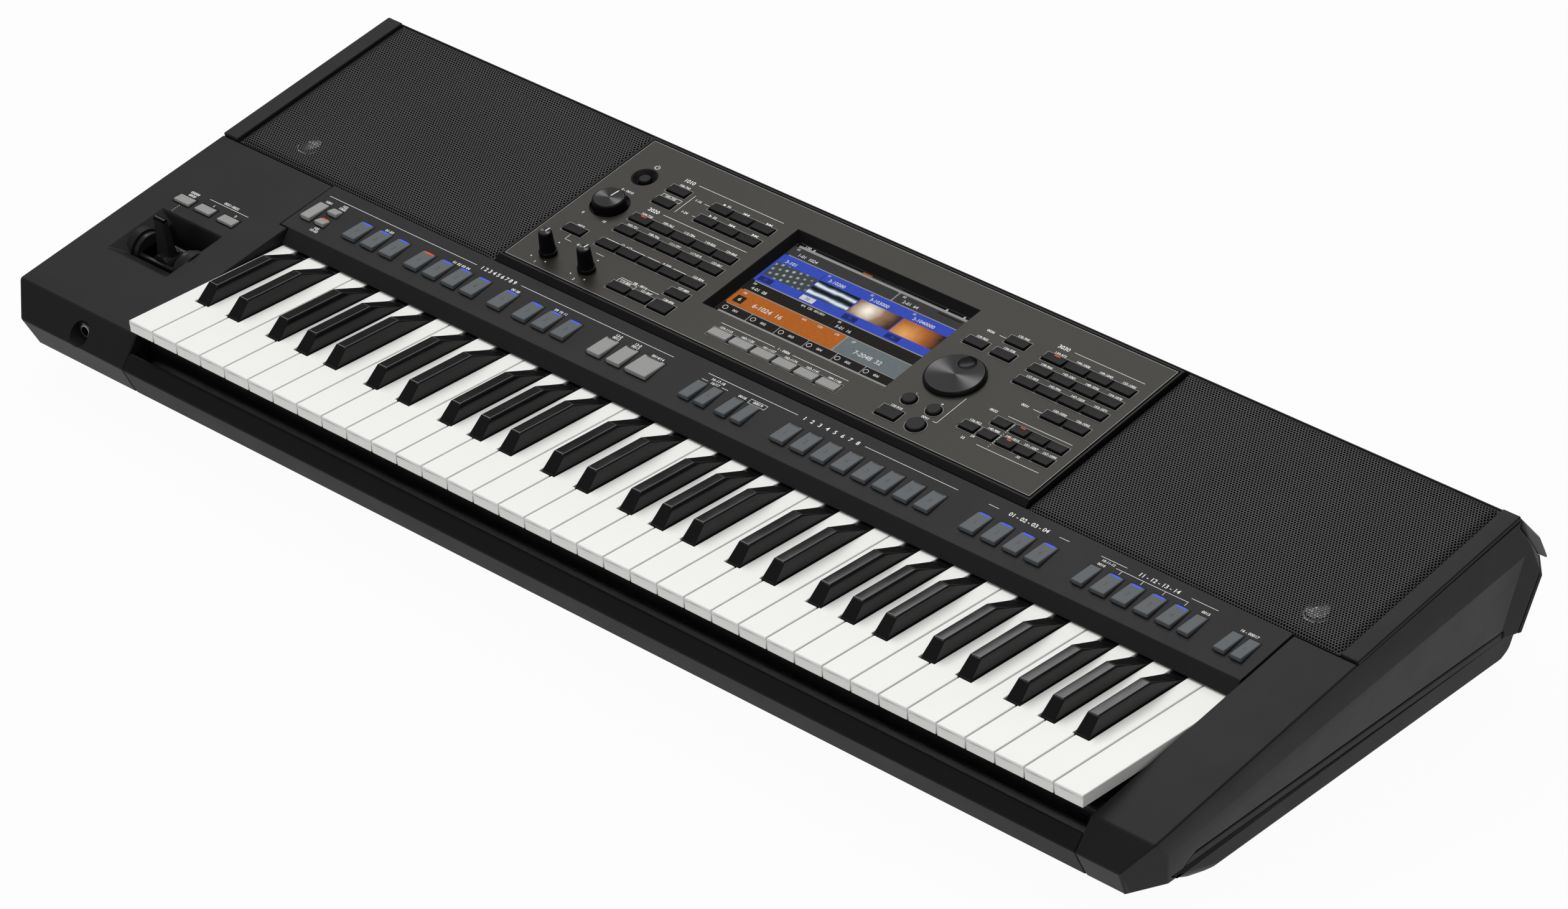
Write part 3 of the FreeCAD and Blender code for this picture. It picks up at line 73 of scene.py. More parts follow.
def vector(name, default, description, **more):
    return FloatVectorProperty(name=name, description=description, size=3, default=default, **more)


def colour(name, default, description):
    return vector(name, default, description, subtype="COLOR", min=0.0, max=1.0)


def amount(name, default, description, least=0.0, **more):
    return FloatProperty(name=name, description=description, default=default, min=least, **more)


def length(name, default, description):
    return amount(name, default, description, subtype="DISTANCE", unit="LENGTH", precision=5)


class KEYBOARD_PG_case(bpy.types.PropertyGroup):
    """Case colours and the rounding of its edges."""

    shell: colour("Shell", (0.0120, 0.0119, 0.0122), "Satin charcoal of the end blocks and the strip")
    lower: colour("Lower case", (0.0085, 0.0085, 0.0090), "Darker tray below the seam")
    trim: colour("Trim", (0.0065, 0.0065, 0.0070), "Black frame, bezels and sockets")
    shell_edge: length("Shell edge", 0.0014, "Rounding of the end blocks' edges")
    lower_edge: length("Lower edge", 0.0030, "Rounding of the tray's edges")
    trim_edge: length("Trim edge", 0.0005, "Rounding of frames and bezels")


class KEYBOARD_PG_keys(bpy.types.PropertyGroup):
    """Key colours and edges."""

    white: colour("White keys", (0.765, 0.765, 0.740), "Smooth off-white plastic")
    black: colour("Black keys", (0.0055, 0.0055, 0.006), "Glossy black plastic")
    white_edge: length("White edge", 0.0007, "Rounding of the white keys")
    black_edge: length("Black edge", 0.0011, "Rounding of the black keys")


class KEYBOARD_PG_grilles(bpy.types.PropertyGroup):
    """Perforated speaker sheets."""

    metal: colour("Metal", (0.047, 0.047, 0.047), "Dark coated sheet")
    pitch: length("Pitch", 0.00225, "Distance between holes along a row")
    row: length("Row", 0.0020, "Distance between rows of holes")
    web: length("Web", 0.00066, "Metal left between two holes")
    sheet: length("Sheet", 0.0005, "Thickness of the sheet")
    roll: length("Roll", 0.0070, "Width of the rolled border")
    roll_drop: length("Roll drop", 0.0022, "How far the border bends down")


class KEYBOARD_PG_panel(bpy.types.PropertyGroup):
    """Centre panel, buttons, pads and lamps."""

    plate: colour("Plate", (0.0255, 0.0232, 0.0200), "Warm satin metal of the centre panel")
    button: colour("Buttons", (0.0065, 0.0065, 0.0070), "Near-black panel buttons")
    pad: colour("Pads", (0.088, 0.097, 0.103), "Grey strip pads")
    light_pad: colour("Light pads", (0.245, 0.248, 0.240), "Pale grey pads and buttons")
    print_white: colour("Print", (0.72, 0.72, 0.70), "Printed rules and figures")
    lamp_blue: colour("Blue lamps", (0.075, 0.135, 1.0), "Lit lamps of the chosen pads")
    lamp_orange: colour("Orange lamps", (0.78, 0.10, 0.025), "Lit lamps of active buttons")
    button_edge: length("Button edge", 0.0005, "Rounding of buttons and pads")
    figure: length("Figure", 0.0030, "Height of the figures at the panel buttons")
    rule: length("Rule", 0.00034, "Width of the printed rules")


class KEYBOARD_PG_screen(bpy.types.PropertyGroup):
    """Colours of the plain tiles on the display."""

    blue: colour("Blue tile", (0.034, 0.068, 0.450), "Wide band of picture tiles")
    orange: colour("Orange tile", (0.410, 0.110, 0.014), "Tile on the lower left")
    slate: colour("Slate tile", (0.132, 0.156, 0.168), "Tile on the lower right")
    grey: colour("Grey bars", (0.043, 0.041, 0.043), "Bars above the tiles")
    dark: colour("Dark bar", (0.014, 0.012, 0.011), "Bars between and below the tiles")
    label: colour("Labels", (0.013, 0.021, 0.135), "Small labels on the blue band")
    mark: colour("Mark", (0.62, 0.62, 0.62), "Pale figures on the tiles")


class KEYBOARD_PG_stage(bpy.types.PropertyGroup):
    """Camera, lamps and floor."""

    camera_place: vector("Camera", (2.3050, -2.5764, 2.1214), "Where the camera stands",
                         subtype="TRANSLATION", unit="LENGTH")
    camera_right: vector("Right", (0.74359, 0.66848, 0.01410), "Camera's own +X", subtype="DIRECTION")
    camera_up: vector("Up", (-0.35300, 0.37460, 0.85740), "Camera's own +Y", subtype="DIRECTION")
    lens: amount("Lens", 137.574, "Focal length in millimetres", 1.0)
    floor: colour("Floor", (0.44, 0.44, 0.44), "Plain pale floor")
    sky: amount("Sky", 1.0, "Strength of the light from the room")
    overhead: amount("Overhead", 74.0, "Power of the large soft box above")
    sheen: amount("Sheen", 56.0, "Power of the soft box behind")
    front: amount("Front", 34.0, "Power of the low soft box in front")


PLANS = {"case": KEYBOARD_PG_case, "keys": KEYBOARD_PG_keys, "grilles": KEYBOARD_PG_grilles,
         "panel": KEYBOARD_PG_panel, "screen": KEYBOARD_PG_screen, "stage": KEYBOARD_PG_stage}


def plan(part):
    """The settings of one part of the keyboard."""
    return getattr(bpy.context.scene, "keyboard_" + part)


class Wire:
    """A shader socket that takes part in plain sums."""

    def __init__(self, finish, socket):
        self.finish = finish
        self.socket = socket

    def work(self, operation, other=None, swapped=False):
        """A math node of this socket, alone or with another socket or number."""
        values = (self,) if other is None else (other, self) if swapped else (self, other)
        return self.finish.add("Math", {"operation": operation}, dict(enumerate(values)))

    def output(self, name):
        """Another output of the same node."""
        return Wire(self.finish, self.socket.node.outputs[name])

    def __add__(self, other):
        return self.work("ADD", other)

    __radd__ = __add__

    def __sub__(self, other):
        return self.work("SUBTRACT", other)

    def __rsub__(self, other):
        return self.work("SUBTRACT", other, True)

    def __mul__(self, other):
        return self.work("MULTIPLY", other)

    def __pow__(self, other):
        return self.work("POWER", other)


class Finish:
    """A node material, put together socket by socket."""

    def __init__(self, name, world=False):
        self.block = bpy.data.worlds.new(name) if world else bpy.data.materials.new(name)
        self.block.use_nodes = True
        self.tree = self.block.node_tree
        self.tree.nodes.clear()

    def add(self, kind, settings=None, inputs=None, output=0):
        """Any shader node: its kind, its settings, then the values or wires of its sockets."""
        node = self.tree.nodes.new("ShaderNode" + kind)
        for key, value in (settings or {}).items():
            if key == "stops":
                self.set_stops(node.color_ramp, value)
            else:
                setattr(node, key, value)
        for key, value in (inputs or {}).items():
            socket = self.named(node.inputs, key)
            if isinstance(value, Wire):
                self.tree.links.new(value.socket, socket)
            else:
                socket.default_value = value
        return Wire(self, self.named(node.outputs, output)) if node.outputs else None

    @staticmethod
    def named(sockets, key):
        """A socket by its number, or the one in use among those of a name."""
        if isinstance(key, int):
            return sockets[key]
        return next(socket for socket in sockets if socket.name == key and socket.enabled)

    @staticmethod
    def set_stops(ramp, stops):
        while len(ramp.elements) < len(stops):
            ramp.elements.new(1.0)
        for element, (place, tint) in zip(ramp.elements, stops):
            element.position = place
            element.color = (*tint, 1.0)

    def place(self):
        return self.add("TexCoord", output="Object")

    def laid(self, centre, turn=0.0, wide=1.0):
        """Coordinates along the deck, about a point."""
        return self.add("Mapping", {"vector_type": "TEXTURE"}, {
            "Vector": self.place(), "Location": centre, "Rotation": (DECK_ANGLE, 0.0, turn),
            "Scale": (wide, wide, wide)})

    def noise(self, scale, detail=2.0, where=None):
        return self.add("TexNoise", {}, {"Vector": where or self.place(), "Scale": scale, "Detail": detail})

    def blend(self, factor, first, second):
        """From one colour to another."""
        ends = {"Factor": factor}
        for key, tint in (("A", first), ("B", second)):
            ends[key] = tint if isinstance(tint, Wire) else (*tint, 1.0)
        return self.add("Mix", {"data_type": "RGBA"}, ends, "Result")

    def tones(self, factor, tint, dark, pale):
        """From a darker to a paler tone of one colour."""
        return self.blend(factor, shade(tint, dark), shade(tint, pale))

    def bump(self, height, strength, depth):
        return self.add("Bump", {}, {"Strength": strength, "Distance": depth, "Height": height})

    def surface(self, base, rough, shine=None, normal=None, metal=None, glow=None, strength=None):
        """The finished material; what isn't given keeps Blender's own value."""
        sockets = {"Base Color": base, "Roughness": rough, "Specular IOR Level": shine, "Normal": normal,
                   "Metallic": metal, "Emission Color": glow, "Emission Strength": strength}
        given = {key: value for key, value in sockets.items() if value is not None}
        return self.close(self.add("BsdfPrincipled", {}, given))

    def close(self, shader, output="OutputMaterial"):
        self.add(output, {}, {"Surface": shader})
        return self.block


def shade(tint, share):
    """A colour made darker or lighter."""
    return tuple(min(1.0, part * share) for part in tint)


def moulded(name, tint, rough, grain=1500.0, depth=0.00004, shine=0.08):
    """Moulded plastic: a fine spark-eroded grain, slow colour drift and uneven sheen."""
    made = Finish(name)
    fine = made.noise(grain, 3.0)
    smear = made.noise(34.0, 4.0)
    base = made.tones(made.noise(7.0), tint, 0.88, 1.12)
    return made.surface(made.blend(fine * 0.35, base, shade(tint, 1.24)),
                        rough + (smear - 0.5) * 0.10 + (fine - 0.5) * 0.08, shine, made.bump(fine, 0.35, depth))


def polished(name, tint, rough, spread, shine=0.5):
    """Glossy plastic with faint handling marks in its sheen."""
    made = Finish(name)
    smear = made.noise(60.0, 5.0)
    return made.surface(made.tones(made.noise(11.0), tint, 1.0 - spread, 1.0 + spread),
                        rough + (smear - 0.45) * 0.12, shine, made.bump(made.noise(90.0, 1.0), 0.05, 0.0001))


def satin_plate(name, tint):
    """Coated metal sheet with a fine metallic fleck."""
    made = Finish(name)
    fleck = made.noise(2600.0)
    base = made.tones(made.noise(5.0), tint, 0.90, 1.12)
    return made.surface(made.blend(fleck ** 3.0, base, shade(tint, 2.0)), 0.42 + (fleck - 0.5) * 0.14, 0.1,
                        made.bump(fleck, 0.25, 0.00003), metal=0.25)


def coated_mesh(name, tint):
    """Powder-coated perforated steel."""
    made = Finish(name)
    grit = made.noise(3000.0)
    return made.surface(made.tones(made.noise(9.0), tint, 0.85, 1.15), 0.5 + (grit - 0.5) * 0.16, 0.12,
                        made.bump(grit, 0.3, 0.00003), metal=0.2)


def spun(name, tint, centre):
    """Turned metal face: fine rings about a centre, with a painted sheen, a soft fan of painted highlight and
    shade in its colour.
    """
    made = Finish(name)
    across = made.add("SeparateXYZ", {}, {"Vector": made.laid(centre)})
    along = across.output("Y")
    rings = ((across * across + along * along) ** 0.5 * 16000.0).work("SINE")
    # The fan and glow below are painted sheen: the base colour is lighter to either side of the centre and
    # darker between.
    fan = (along.work("ARCTAN2", across) * 2.0 + 0.1).work("COSINE")
    glow = ((fan + 1.0) * 0.5) ** 7.0
    return made.surface(made.tones(glow, tint, 0.3, 6.5), 0.30 + rings * 0.05, 0.06,
                        made.bump(rings, 0.12, 0.00004))


def lit(name, tint, strength=1.0):
    """A lamp or a tile of the display behind a frosted window, slightly uneven."""
    made = Finish(name)
    cloud = made.noise(420.0)
    return made.surface(made.tones(cloud, tint, 0.02, 0.05), 0.5, 0.02,
                        glow=made.tones(cloud, tint, 0.85, 1.15), strength=strength)


def picture(name, kind, settings, sizes, spot, wide, turn, *stops):
    """A lit picture: one pattern laid over a tile of the display and coloured by a ramp."""
    made = Finish(name)
    where = made.laid(on_deck(*spot, GLASS_TOP).translation, turn, wide * MM)
    pattern = made.add(kind, settings, {"Vector": where, **sizes})
    cloud = made.noise(160.0, 4.0)
    tint = made.add("ValToRGB", {"stops": stops}, {0: pattern * 0.9 + cloud * 0.2 - 0.05}, "Color")
    return made.surface(made.blend(0.97, tint, (0.0, 0.0, 0.0)), 0.5, 0.02, glow=tint, strength=0.95)


def ink(name, tint):
    """Screen-printed ink of slightly uneven density; the same recipe gives the pale lines of painted highlight.
    """
    made = Finish(name)
    density = made.noise(900.0, 3.0)
    return made.surface(made.tones(density, tint, 0.86, 1.06), 0.5 + (density - 0.5) * 0.1)


def tweeter_body(name, tint, dome, spot, radius):
    """Black plate with a bright dome in the middle, the same on both sides of the keyboard."""
    made = Finish(name)
    centre = on_deck(*spot, 0.0).translation
    parts = made.add("SeparateXYZ", {}, {"Vector": made.place()})
    across = parts.work("ABSOLUTE") - centre.x
    along = (parts.output("Y") - centre.y) * (1.0 / math.cos(DECK_ANGLE))
    inside = ((across * across + along * along) ** 0.5).work("LESS_THAN", radius * MM)
    return made.surface(made.blend(inside, tint, dome), 0.8 - inside * 0.6 + (made.noise(900.0) - 0.5) * 0.1,
                        0.05, metal=inside)


def woven(name, tint):
    """Felt or paper pulp: a loose, dull tangle."""
    made = Finish(name)
    tangle = made.noise(1100.0, 6.0)
    return made.surface(made.tones(tangle, tint, 0.6, 1.4), 0.9, 0.05, made.bump(tangle, 0.7, 0.0003))


def brushed(name, tint):
    """Rolled or brushed metal with long streaks across the width."""
    made = Finish(name)
    stretched = made.add("Mapping", {}, {"Vector": made.place(), "Scale": (30.0, 1400.0, 1400.0)})
    streak = made.noise(1.0, 3.0, stretched)
    return made.surface(made.tones(streak, tint, 0.8, 1.15), 0.3 + (streak - 0.5) * 0.2,
                        normal=made.bump(streak, 0.15, 0.00005), metal=1.0)


def board(name, tint):
    """Circuit board lacquer with paler tracks."""
    made = Finish(name)
    tracks = made.add("TexVoronoi", {"feature": "DISTANCE_TO_EDGE", "distance": "MANHATTAN"},
                      {"Vector": made.place(), "Scale": 160.0})
    edge = tracks.work("LESS_THAN", 0.05)
    return made.surface(made.tones(edge, tint, 1.0, 2.2), 0.35 + edge * 0.1,
                        normal=made.bump(edge, 0.2, 0.00005))


FINISHES = {}


def finish(name):
    """Each material is made once, from the settings, when a piece first asks for it."""
    if name not in FINISHES:
        FINISHES[name] = RECIPES[name]()
    return FINISHES[name]


def glowing_tile(key, strength):
    return lambda: lit("tile_" + key, getattr(plan("screen"), key), strength)


DEEP_BLACK = (0.003, 0.003, 0.003)
TILE_STRENGTHS = {"blue": 0.95, "orange": 0.95, "slate": 0.95, "label": 0.95, "grey": 0.9, "dark": 0.9,
                  "mark": 0.9}
RECIPES = {
    "shell": lambda: moulded("shell_charcoal", plan("case").shell, 0.44, shine=0.075),
    "lower": lambda: moulded("tray_black", plan("case").lower, 0.46, shine=0.05),
    "trim": lambda: moulded("trim_black", plan("case").trim, 0.33, depth=0.00002, shine=0.06),
    "plate": lambda: satin_plate("panel_metal", plan("panel").plate),
    "mesh": lambda: coated_mesh("grille_coat", plan("grilles").metal),
    "white_key": lambda: polished("key_ivory", plan("keys").white, 0.24, 0.025, 0.2),
    "black_key": lambda: polished("key_black_gloss", plan("keys").black, 0.12, 0.1, 0.25),
    "button": lambda: moulded("button_black", plan("panel").button, 0.36, 1900.0, shine=0.06),
    "pad": lambda: moulded("pad_grey", plan("panel").pad, 0.42, 1900.0),
    "light_pad": lambda: moulded("pad_pale", plan("panel").light_pad, 0.42, 1900.0),
    "knob": lambda: moulded("knob_black", (0.0035, 0.0035, 0.0037), 0.22, 1200.0, 0.00002),
    "stick": lambda: moulded("stick_black", (0.012, 0.012, 0.013), 0.30, 1300.0, shine=0.14),
    "jack": lambda: polished("socket_gloss", (0.006, 0.006, 0.007), 0.16, 0.1),
    "print": lambda: ink("print_white", plan("panel").print_white),
    "print_dark": lambda: ink("print_dark", (0.012, 0.013, 0.014)),
    # Pale lines of painted highlight along the edges of the plate, its wells and the round buttons
    "edge_line": lambda: ink("edge_line", (0.24, 0.235, 0.225)),
    "lamp_blue": lambda: lit("lamp_blue", plan("panel").lamp_blue),
    "lamp_orange": lambda: lit("lamp_orange", plan("panel").lamp_orange),
    "lamp_off": lambda: moulded("lamp_window", (0.035, 0.036, 0.037), 0.3),
    "glass": lambda: polished("display_glass", (0.004, 0.004, 0.005), 0.06, 0.1),
    **{"tile_" + key: glowing_tile(key, strength) for key, strength in TILE_STRENGTHS.items()},
    "picture_1": lambda: picture(
        "picture_dots", "TexVoronoi", {}, {"Scale": 7.0, "Randomness": 0.0}, (-56.5, 312.2), 37.0, 0.3,
        (0.10, (0.50, 0.55, 0.55)), (0.24, (0.22, 0.25, 0.25)), (0.34, (0.05, 0.06, 0.06))),
    "picture_2": lambda: picture(
        "picture_waves", "TexWave", {"wave_type": "RINGS"}, {"Scale": 1.3, "Distortion": 2.5}, (-34.0, 302.0),
        37.0, 0.0, (0.20, (0.004, 0.006, 0.010)), (0.60, (0.10, 0.14, 0.19)), (0.95, (0.72, 0.78, 0.84))),
    "picture_3": lambda: picture(
        "picture_glow", "TexGradient", {"gradient_type": "SPHERICAL"}, {}, (13.0, 313.0), 24.0, 0.0,
        (0.05, (0.05, 0.022, 0.012)), (0.5, (0.30, 0.17, 0.10)), (0.9, (0.95, 0.88, 0.75))),
    "picture_4": lambda: picture(
        "picture_dusk", "TexGradient", {"gradient_type": "SPHERICAL"}, {}, (50.0, 306.0), 30.0, 0.0,
        (0.10, (0.03, 0.014, 0.010)), (0.5, (0.40, 0.12, 0.028)), (0.9, (0.75, 0.36, 0.11))),
    # Near-black painted shade: strips in the gaps round pads and buttons, and the walls of the grille's holes
    "well": lambda: moulded("well_black", (0.0025, 0.0025, 0.0027), 0.5),
    "inner": lambda: moulded("inner_black", (0.006, 0.006, 0.006), 0.7),
    "rubber": lambda: moulded("foot_rubber", (0.014, 0.014, 0.014), 0.75, 900.0, 0.0001),
    "felt": lambda: woven("stop_felt", (0.010, 0.010, 0.011)),
    "cone": lambda: woven("cone_pulp", DEEP_BLACK),
    "baffle": lambda: moulded("baffle_black", DEEP_BLACK, 0.8, shine=0.05),
    "steel": lambda: brushed("rolled_steel", (0.45, 0.45, 0.45)),
    "dome": lambda: tweeter_body("tweeter_black", DEEP_BLACK, (0.35, 0.35, 0.35), (452.6, 239.3), 9.0),
    "board": lambda: board("board_green", (0.012, 0.060, 0.030)),
}


def everything(bm):
    return bm.verts[:] + bm.edges[:] + bm.faces[:]


def verts_of(result):
    """The points among what an operator made."""
    return [item for item in result["geom"] if isinstance(item, bmesh.types.BMVert)]


def mesh_of(name, bm):
    mesh = bpy.data.meshes.new(name)
    bm.to_mesh(mesh)
    bm.free()
    return mesh


def stand(name, data):
    """A new object in the scene."""
    item = bpy.data.objects.new(name, data)
    bpy.context.scene.collection.objects.link(item)
    return item


def evaluated(item):
    """The mesh that an object's modifiers or its type make, in place of the object."""
    bpy.context.view_layer.update()
    mesh = bpy.data.meshes.new_from_object(item.evaluated_get(bpy.context.evaluated_depsgraph_get()))
    bm = bmesh.new()
    bm.from_mesh(mesh)
    bpy.data.objects.remove(item)
    bpy.data.meshes.remove(mesh)
    return bm


def welded(node):
    """A copy of a CAD node's mesh, its points joined up."""
    bm = bmesh.new()
    bm.from_mesh(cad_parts[node].data)
    bmesh.ops.remove_doubles(bm, verts=bm.verts, dist=WELD)
    return bm


def cad_copy(node):
    """A copy of a CAD node's mesh, its flat faces joined up too."""
    bm = welded(node)
    bmesh.ops.dissolve_limit(bm, angle_limit=math.radians(0.6), use_dissolve_boundaries=False,
                             verts=bm.verts[:], edges=bm.edges[:], delimit=set())
    return bm


def bevel(bm, geom, radius, steps, affect="EDGES"):
    bmesh.ops.bevel(bm, geom=geom, offset=radius, offset_type="OFFSET", segments=steps, profile=0.5,
                    affect=affect, clamp_overlap=False, material=-1)


def round_edges(bm, radius, steps=2, sharper=28.0, longer=0.0):
    """Rounds every edge sharper than an angle and longer than a length."""
    picked = [edge for edge in bm.edges if edge.is_manifold and edge.calc_length() > longer
              and edge.calc_face_angle() > math.radians(sharper)]
    if picked and radius > 0:
        bevel(bm, picked, radius, steps)


def add_piece(name, bm, finishes, body, slot, *replaced, even=False):
    """Makes a bmesh a shaded object on a CAD body."""
    for face in bm.faces:
        face.smooth = True
    for edge in bm.edges:
        broad = min((face.calc_area() for face in edge.link_faces), default=0.0) > BROAD_FACE
        edge.smooth = edge.calc_face_angle(math.pi) < (BROAD_CREASE if broad else CREASE)
    mesh = mesh_of(name, bm)
    for key in finishes:
        mesh.materials.append(finish(key))
    piece = stand(name, mesh)
    if even:
        piece.modifiers.new("even_shading", "WEIGHTED_NORMAL").keep_sharp = True
    if replaced:
        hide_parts(*replaced)
    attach(piece, body)


def dress(node, key, slot, body, *rounding):
    """A rounded copy stands for a CAD node."""
    bm = cad_copy(node)
    round_edges(bm, *rounding)
    add_piece(node + "_finished", bm, (key,), body, slot, node, even=True)


def paint(key, *nodes):
    """A CAD node that stays gets its own finish."""
    for node in nodes:
        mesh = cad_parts[node].data
        mesh.materials.clear()
        mesh.materials.append(finish(key))


class Box:
    """The extent of some points: its corners, its middle and its size."""

    def __init__(self, points):
        self.low = Vector(map(min, *points))
        self.high = Vector(map(max, *points))
        self.x, self.s, self.z = ((a + b) / 2 for a, b in zip(self.low, self.high))
        self.wide, self.deep = self.high.x - self.low.x, self.high.y - self.low.y

    def is_round(self):
        return abs(self.wide - self.deep) < ALIKE

    def sides(self, margin):
        """Left, right, front and rear, moved out by a margin."""
        return self.low.x - margin, self.high.x + margin, self.low.y - margin, self.high.y + margin


def islands(node, place=DECK):
    """The box of each separate solid of a node, in the frame of a place, in millimetres, from left to right."""
    bm = welded(node)
    bm.transform(place.inverted())
    seen, found = set(), []
    for start in bm.verts:
        if start in seen:
            continue
        stack, group = [start], []
        seen.add(start)
        while stack:
            vert = stack.pop()
            group.append(vert.co / MM)
            fresh = {edge.other_vert(vert) for edge in vert.link_edges} - seen
            seen |= fresh
            stack.extend(fresh)
        found.append(Box(group))
    bm.free()
    return sorted(found, key=lambda box: box.low.x + box.high.x)


def merge(bm, part, place, index=0):
    """Adds one small mesh to a larger one, at its place and with its finish."""
    part.transform(place)
    for face in part.faces:
        face.material_index = index
    mesh = mesh_of("part", part)
    bm.from_mesh(mesh)
    bpy.data.meshes.remove(mesh)


def on_deck(x, s, w, lean=0.0):
    """Place on the deck, in millimetres across, back and up, leaning back by an angle."""
    return DECK @ Matrix.Translation((x * MM, s * MM, w * MM)) @ Matrix.Rotation(lean, 4, "X")


def on_top(box, share, heights, lift=0.0):
    """Place on a pad's sloped top, a share of the way back from its front edge."""
    drop = heights[0] - heights[1]
    return on_deck(box.x, box.low.y + box.deep * share, box.high.z - drop * share + lift,
                   -math.atan2(drop, box.deep))


def quad(wide, deep):
    """A rectangle about the origin, in metres."""
    part = bmesh.new()
    bmesh.ops.create_grid(part, x_segments=1, y_segments=1, size=0.5)
    bmesh.ops.scale(part, vec=(wide, deep, 1.0), verts=part.verts)
    return part


def thicken(part, tall):
    """Raises a flat mesh by a height in millimetres."""
    raised = bmesh.ops.extrude_face_region(part, geom=part.faces[:])
    bmesh.ops.translate(part, vec=(0.0, 0.0, tall * MM), verts=verts_of(raised))
    bmesh.ops.recalc_face_normals(part, faces=part.faces[:])


# The shapes below are given in millimetres


def bar(bm, place, wide, deep, tall, index=0):
    """A small block with broken edges."""
    part = bmesh.new()
    bmesh.ops.create_cube(part, size=1.0)
    bmesh.ops.scale(part, vec=(wide * MM, deep * MM, tall * MM), verts=part.verts)
    bevel(part, part.edges[:], min(0.08, tall * 0.4) * MM, 1)
    merge(bm, part, place, index)


def tile(bm, place, wide, deep, radius=0.0, index=0, tall=PRINT_LIFT):
    """A flat tile, its corners rounded where there is a radius."""
    part = quad(wide * MM, deep * MM)
    if radius > 0:
        bevel(part, part.verts[:], radius * MM, 4, "VERTICES")
    thicken(part, tall)
    merge(bm, part, place, index)


def patch(bm, x0, x1, s0, s1, lift, radius=0.0, index=0, tall=PRINT_LIFT):
    """A tile that fills a rectangle of the deck."""
    tile(bm, on_deck((x0 + x1) / 2, (s0 + s1) / 2, lift), x1 - x0, s1 - s0, radius, index, tall)


def dots(bm, points, radius, lift=PLATE_TOP):
    for x, s in points:
        part = bmesh.new()
        bmesh.ops.create_cone(part, cap_ends=True, segments=20, radius1=radius * MM, radius2=radius * MM,
                              depth=0.05 * MM)
        merge(bm, part, on_deck(x, s, lift))


def ring(bm, place, radius, wide, index=0, tall=0.05, sides=48, turn=1.0):
    """A thin flat ring, or a part of one."""
    part = quad(wide * MM, tall * MM)
    bmesh.ops.rotate(part, cent=(0, 0, 0), matrix=Matrix.Rotation(math.pi / 2, 3, "X"), verts=part.verts)
    bmesh.ops.translate(part, vec=(radius * MM, 0.0, 0.0), verts=part.verts)
    whole = turn >= 1.0
    if whole:
        bmesh.ops.delete(part, geom=part.faces[:], context="FACES_ONLY")
    bmesh.ops.spin(part, geom=everything(part), cent=(0, 0, 0), axis=(0, 0, 1), angle=math.tau * turn,
                   steps=sides, use_merge=whole)
    bmesh.ops.recalc_face_normals(part, faces=part.faces[:])
    merge(bm, part, place, index)


def rule(bm, start, end, wide=None, lift=PLATE_TOP):
    """A thin line between two points of the deck: print on most pieces, a painted highlight on the panel's edges
    and wells.
    """
    (x0, s0), (x1, s1) = start, end
    turn = Matrix.Rotation(math.atan2(s1 - s0, x1 - x0), 4, "Z")
    tile(bm, on_deck((x0 + x1) / 2, (s0 + s1) / 2, lift + PRINT_LIFT / 2) @ turn,
         math.hypot(x1 - x0, s1 - s0), wide or plan("panel").rule / MM)


def rules(bm, level, upright, lift):
    """Printed lines across the deck, then along it."""
    for s, x0, x1 in level:
        rule(bm, (x0, s), (x1, s), lift=lift)
    for x, s0, s1 in upright:
        rule(bm, (x, s0), (x, s1), lift=lift)


def outline(bm, x0, x1, s0, s1, wide, lift=PLATE_TOP):
    """Four thin lines round a rectangle: print on most pieces, a painted highlight round the panel's edges and
    wells.
    """
    corners = ((x0, s0), (x1, s0), (x1, s1), (x0, s1))
    for number, start in enumerate(corners):
        rule(bm, start, corners[(number + 1) % 4], wide, lift)


def surround(bm, x0, x1, s0, s1, wide, index, lift):
    """A border of four strips just inside a rectangle, used for strips of painted shade."""
    inner = s0 + wide, s1 - wide
    for sides in ((x0, x1, s0, s0 + wide), (x0, x1, s1 - wide, s1), (x0, x0 + wide, *inner),
                  (x1 - wide, x1, *inner)):
        patch(bm, *sides, lift, index=index)


def figure(bm, text, size, place, index=0):
    """Printed figures as a thin mesh, centred on their place."""
    curve = bpy.data.curves.new("figure", "FONT")
    curve.body = text
    curve.size = size * MM
    curve.align_x = "CENTER"
    curve.align_y = "CENTER"
    curve.resolution_u = 3
    curve.offset = size * 0.014 * MM
    part = evaluated(stand("figure", curve))
    bpy.data.curves.remove(curve)
    thicken(part, PRINT_LIFT)
    merge(bm, part, place, index)


def figures(bm, table, lift, index=0):
    """Printed figures from a table by size."""
    for size, row in table.items():
        for text, x, s in row:
            figure(bm, text, size, on_deck(x, s, lift), index)


class KEYBOARD_OT_case(bpy.types.Operator):
    """Rounded shells of the case"""

    bl_idname = "keyboard.case"
    bl_label = "Case shells"

    def execute(self, context):
        sizes = plan("case")
        dress("lower_case", "lower", "case_lower", "case", sizes.lower_edge, 3, 25.0, 0.02)
        for node in ("left_cheek", "right_cheek"):
            dress(node, "shell", "case_charcoal", "case", sizes.shell_edge, 3, 20.0, 0.006)
        dress("front_rail", "lower", "case_lower", "case", sizes.shell_edge, 3, 20.0)
        dress("control_strip", "shell", "case_charcoal", "case", sizes.trim_edge * 0.6, 1)
        dress("rear_caps", "shell", "case_charcoal", "case", sizes.shell_edge * 0.7, 3)
        dress("rear_visor", "shell", "case_charcoal", "case", sizes.shell_edge * 1.6, 3, 15.0)
        dress("rear_panel", "shell", "case_charcoal", "case", sizes.trim_edge)
        paint("baffle", "speaker_baffle")
        paint("rubber", "rubber_feet")
        paint("steel", "case_screws")
        return {"FINISHED"}


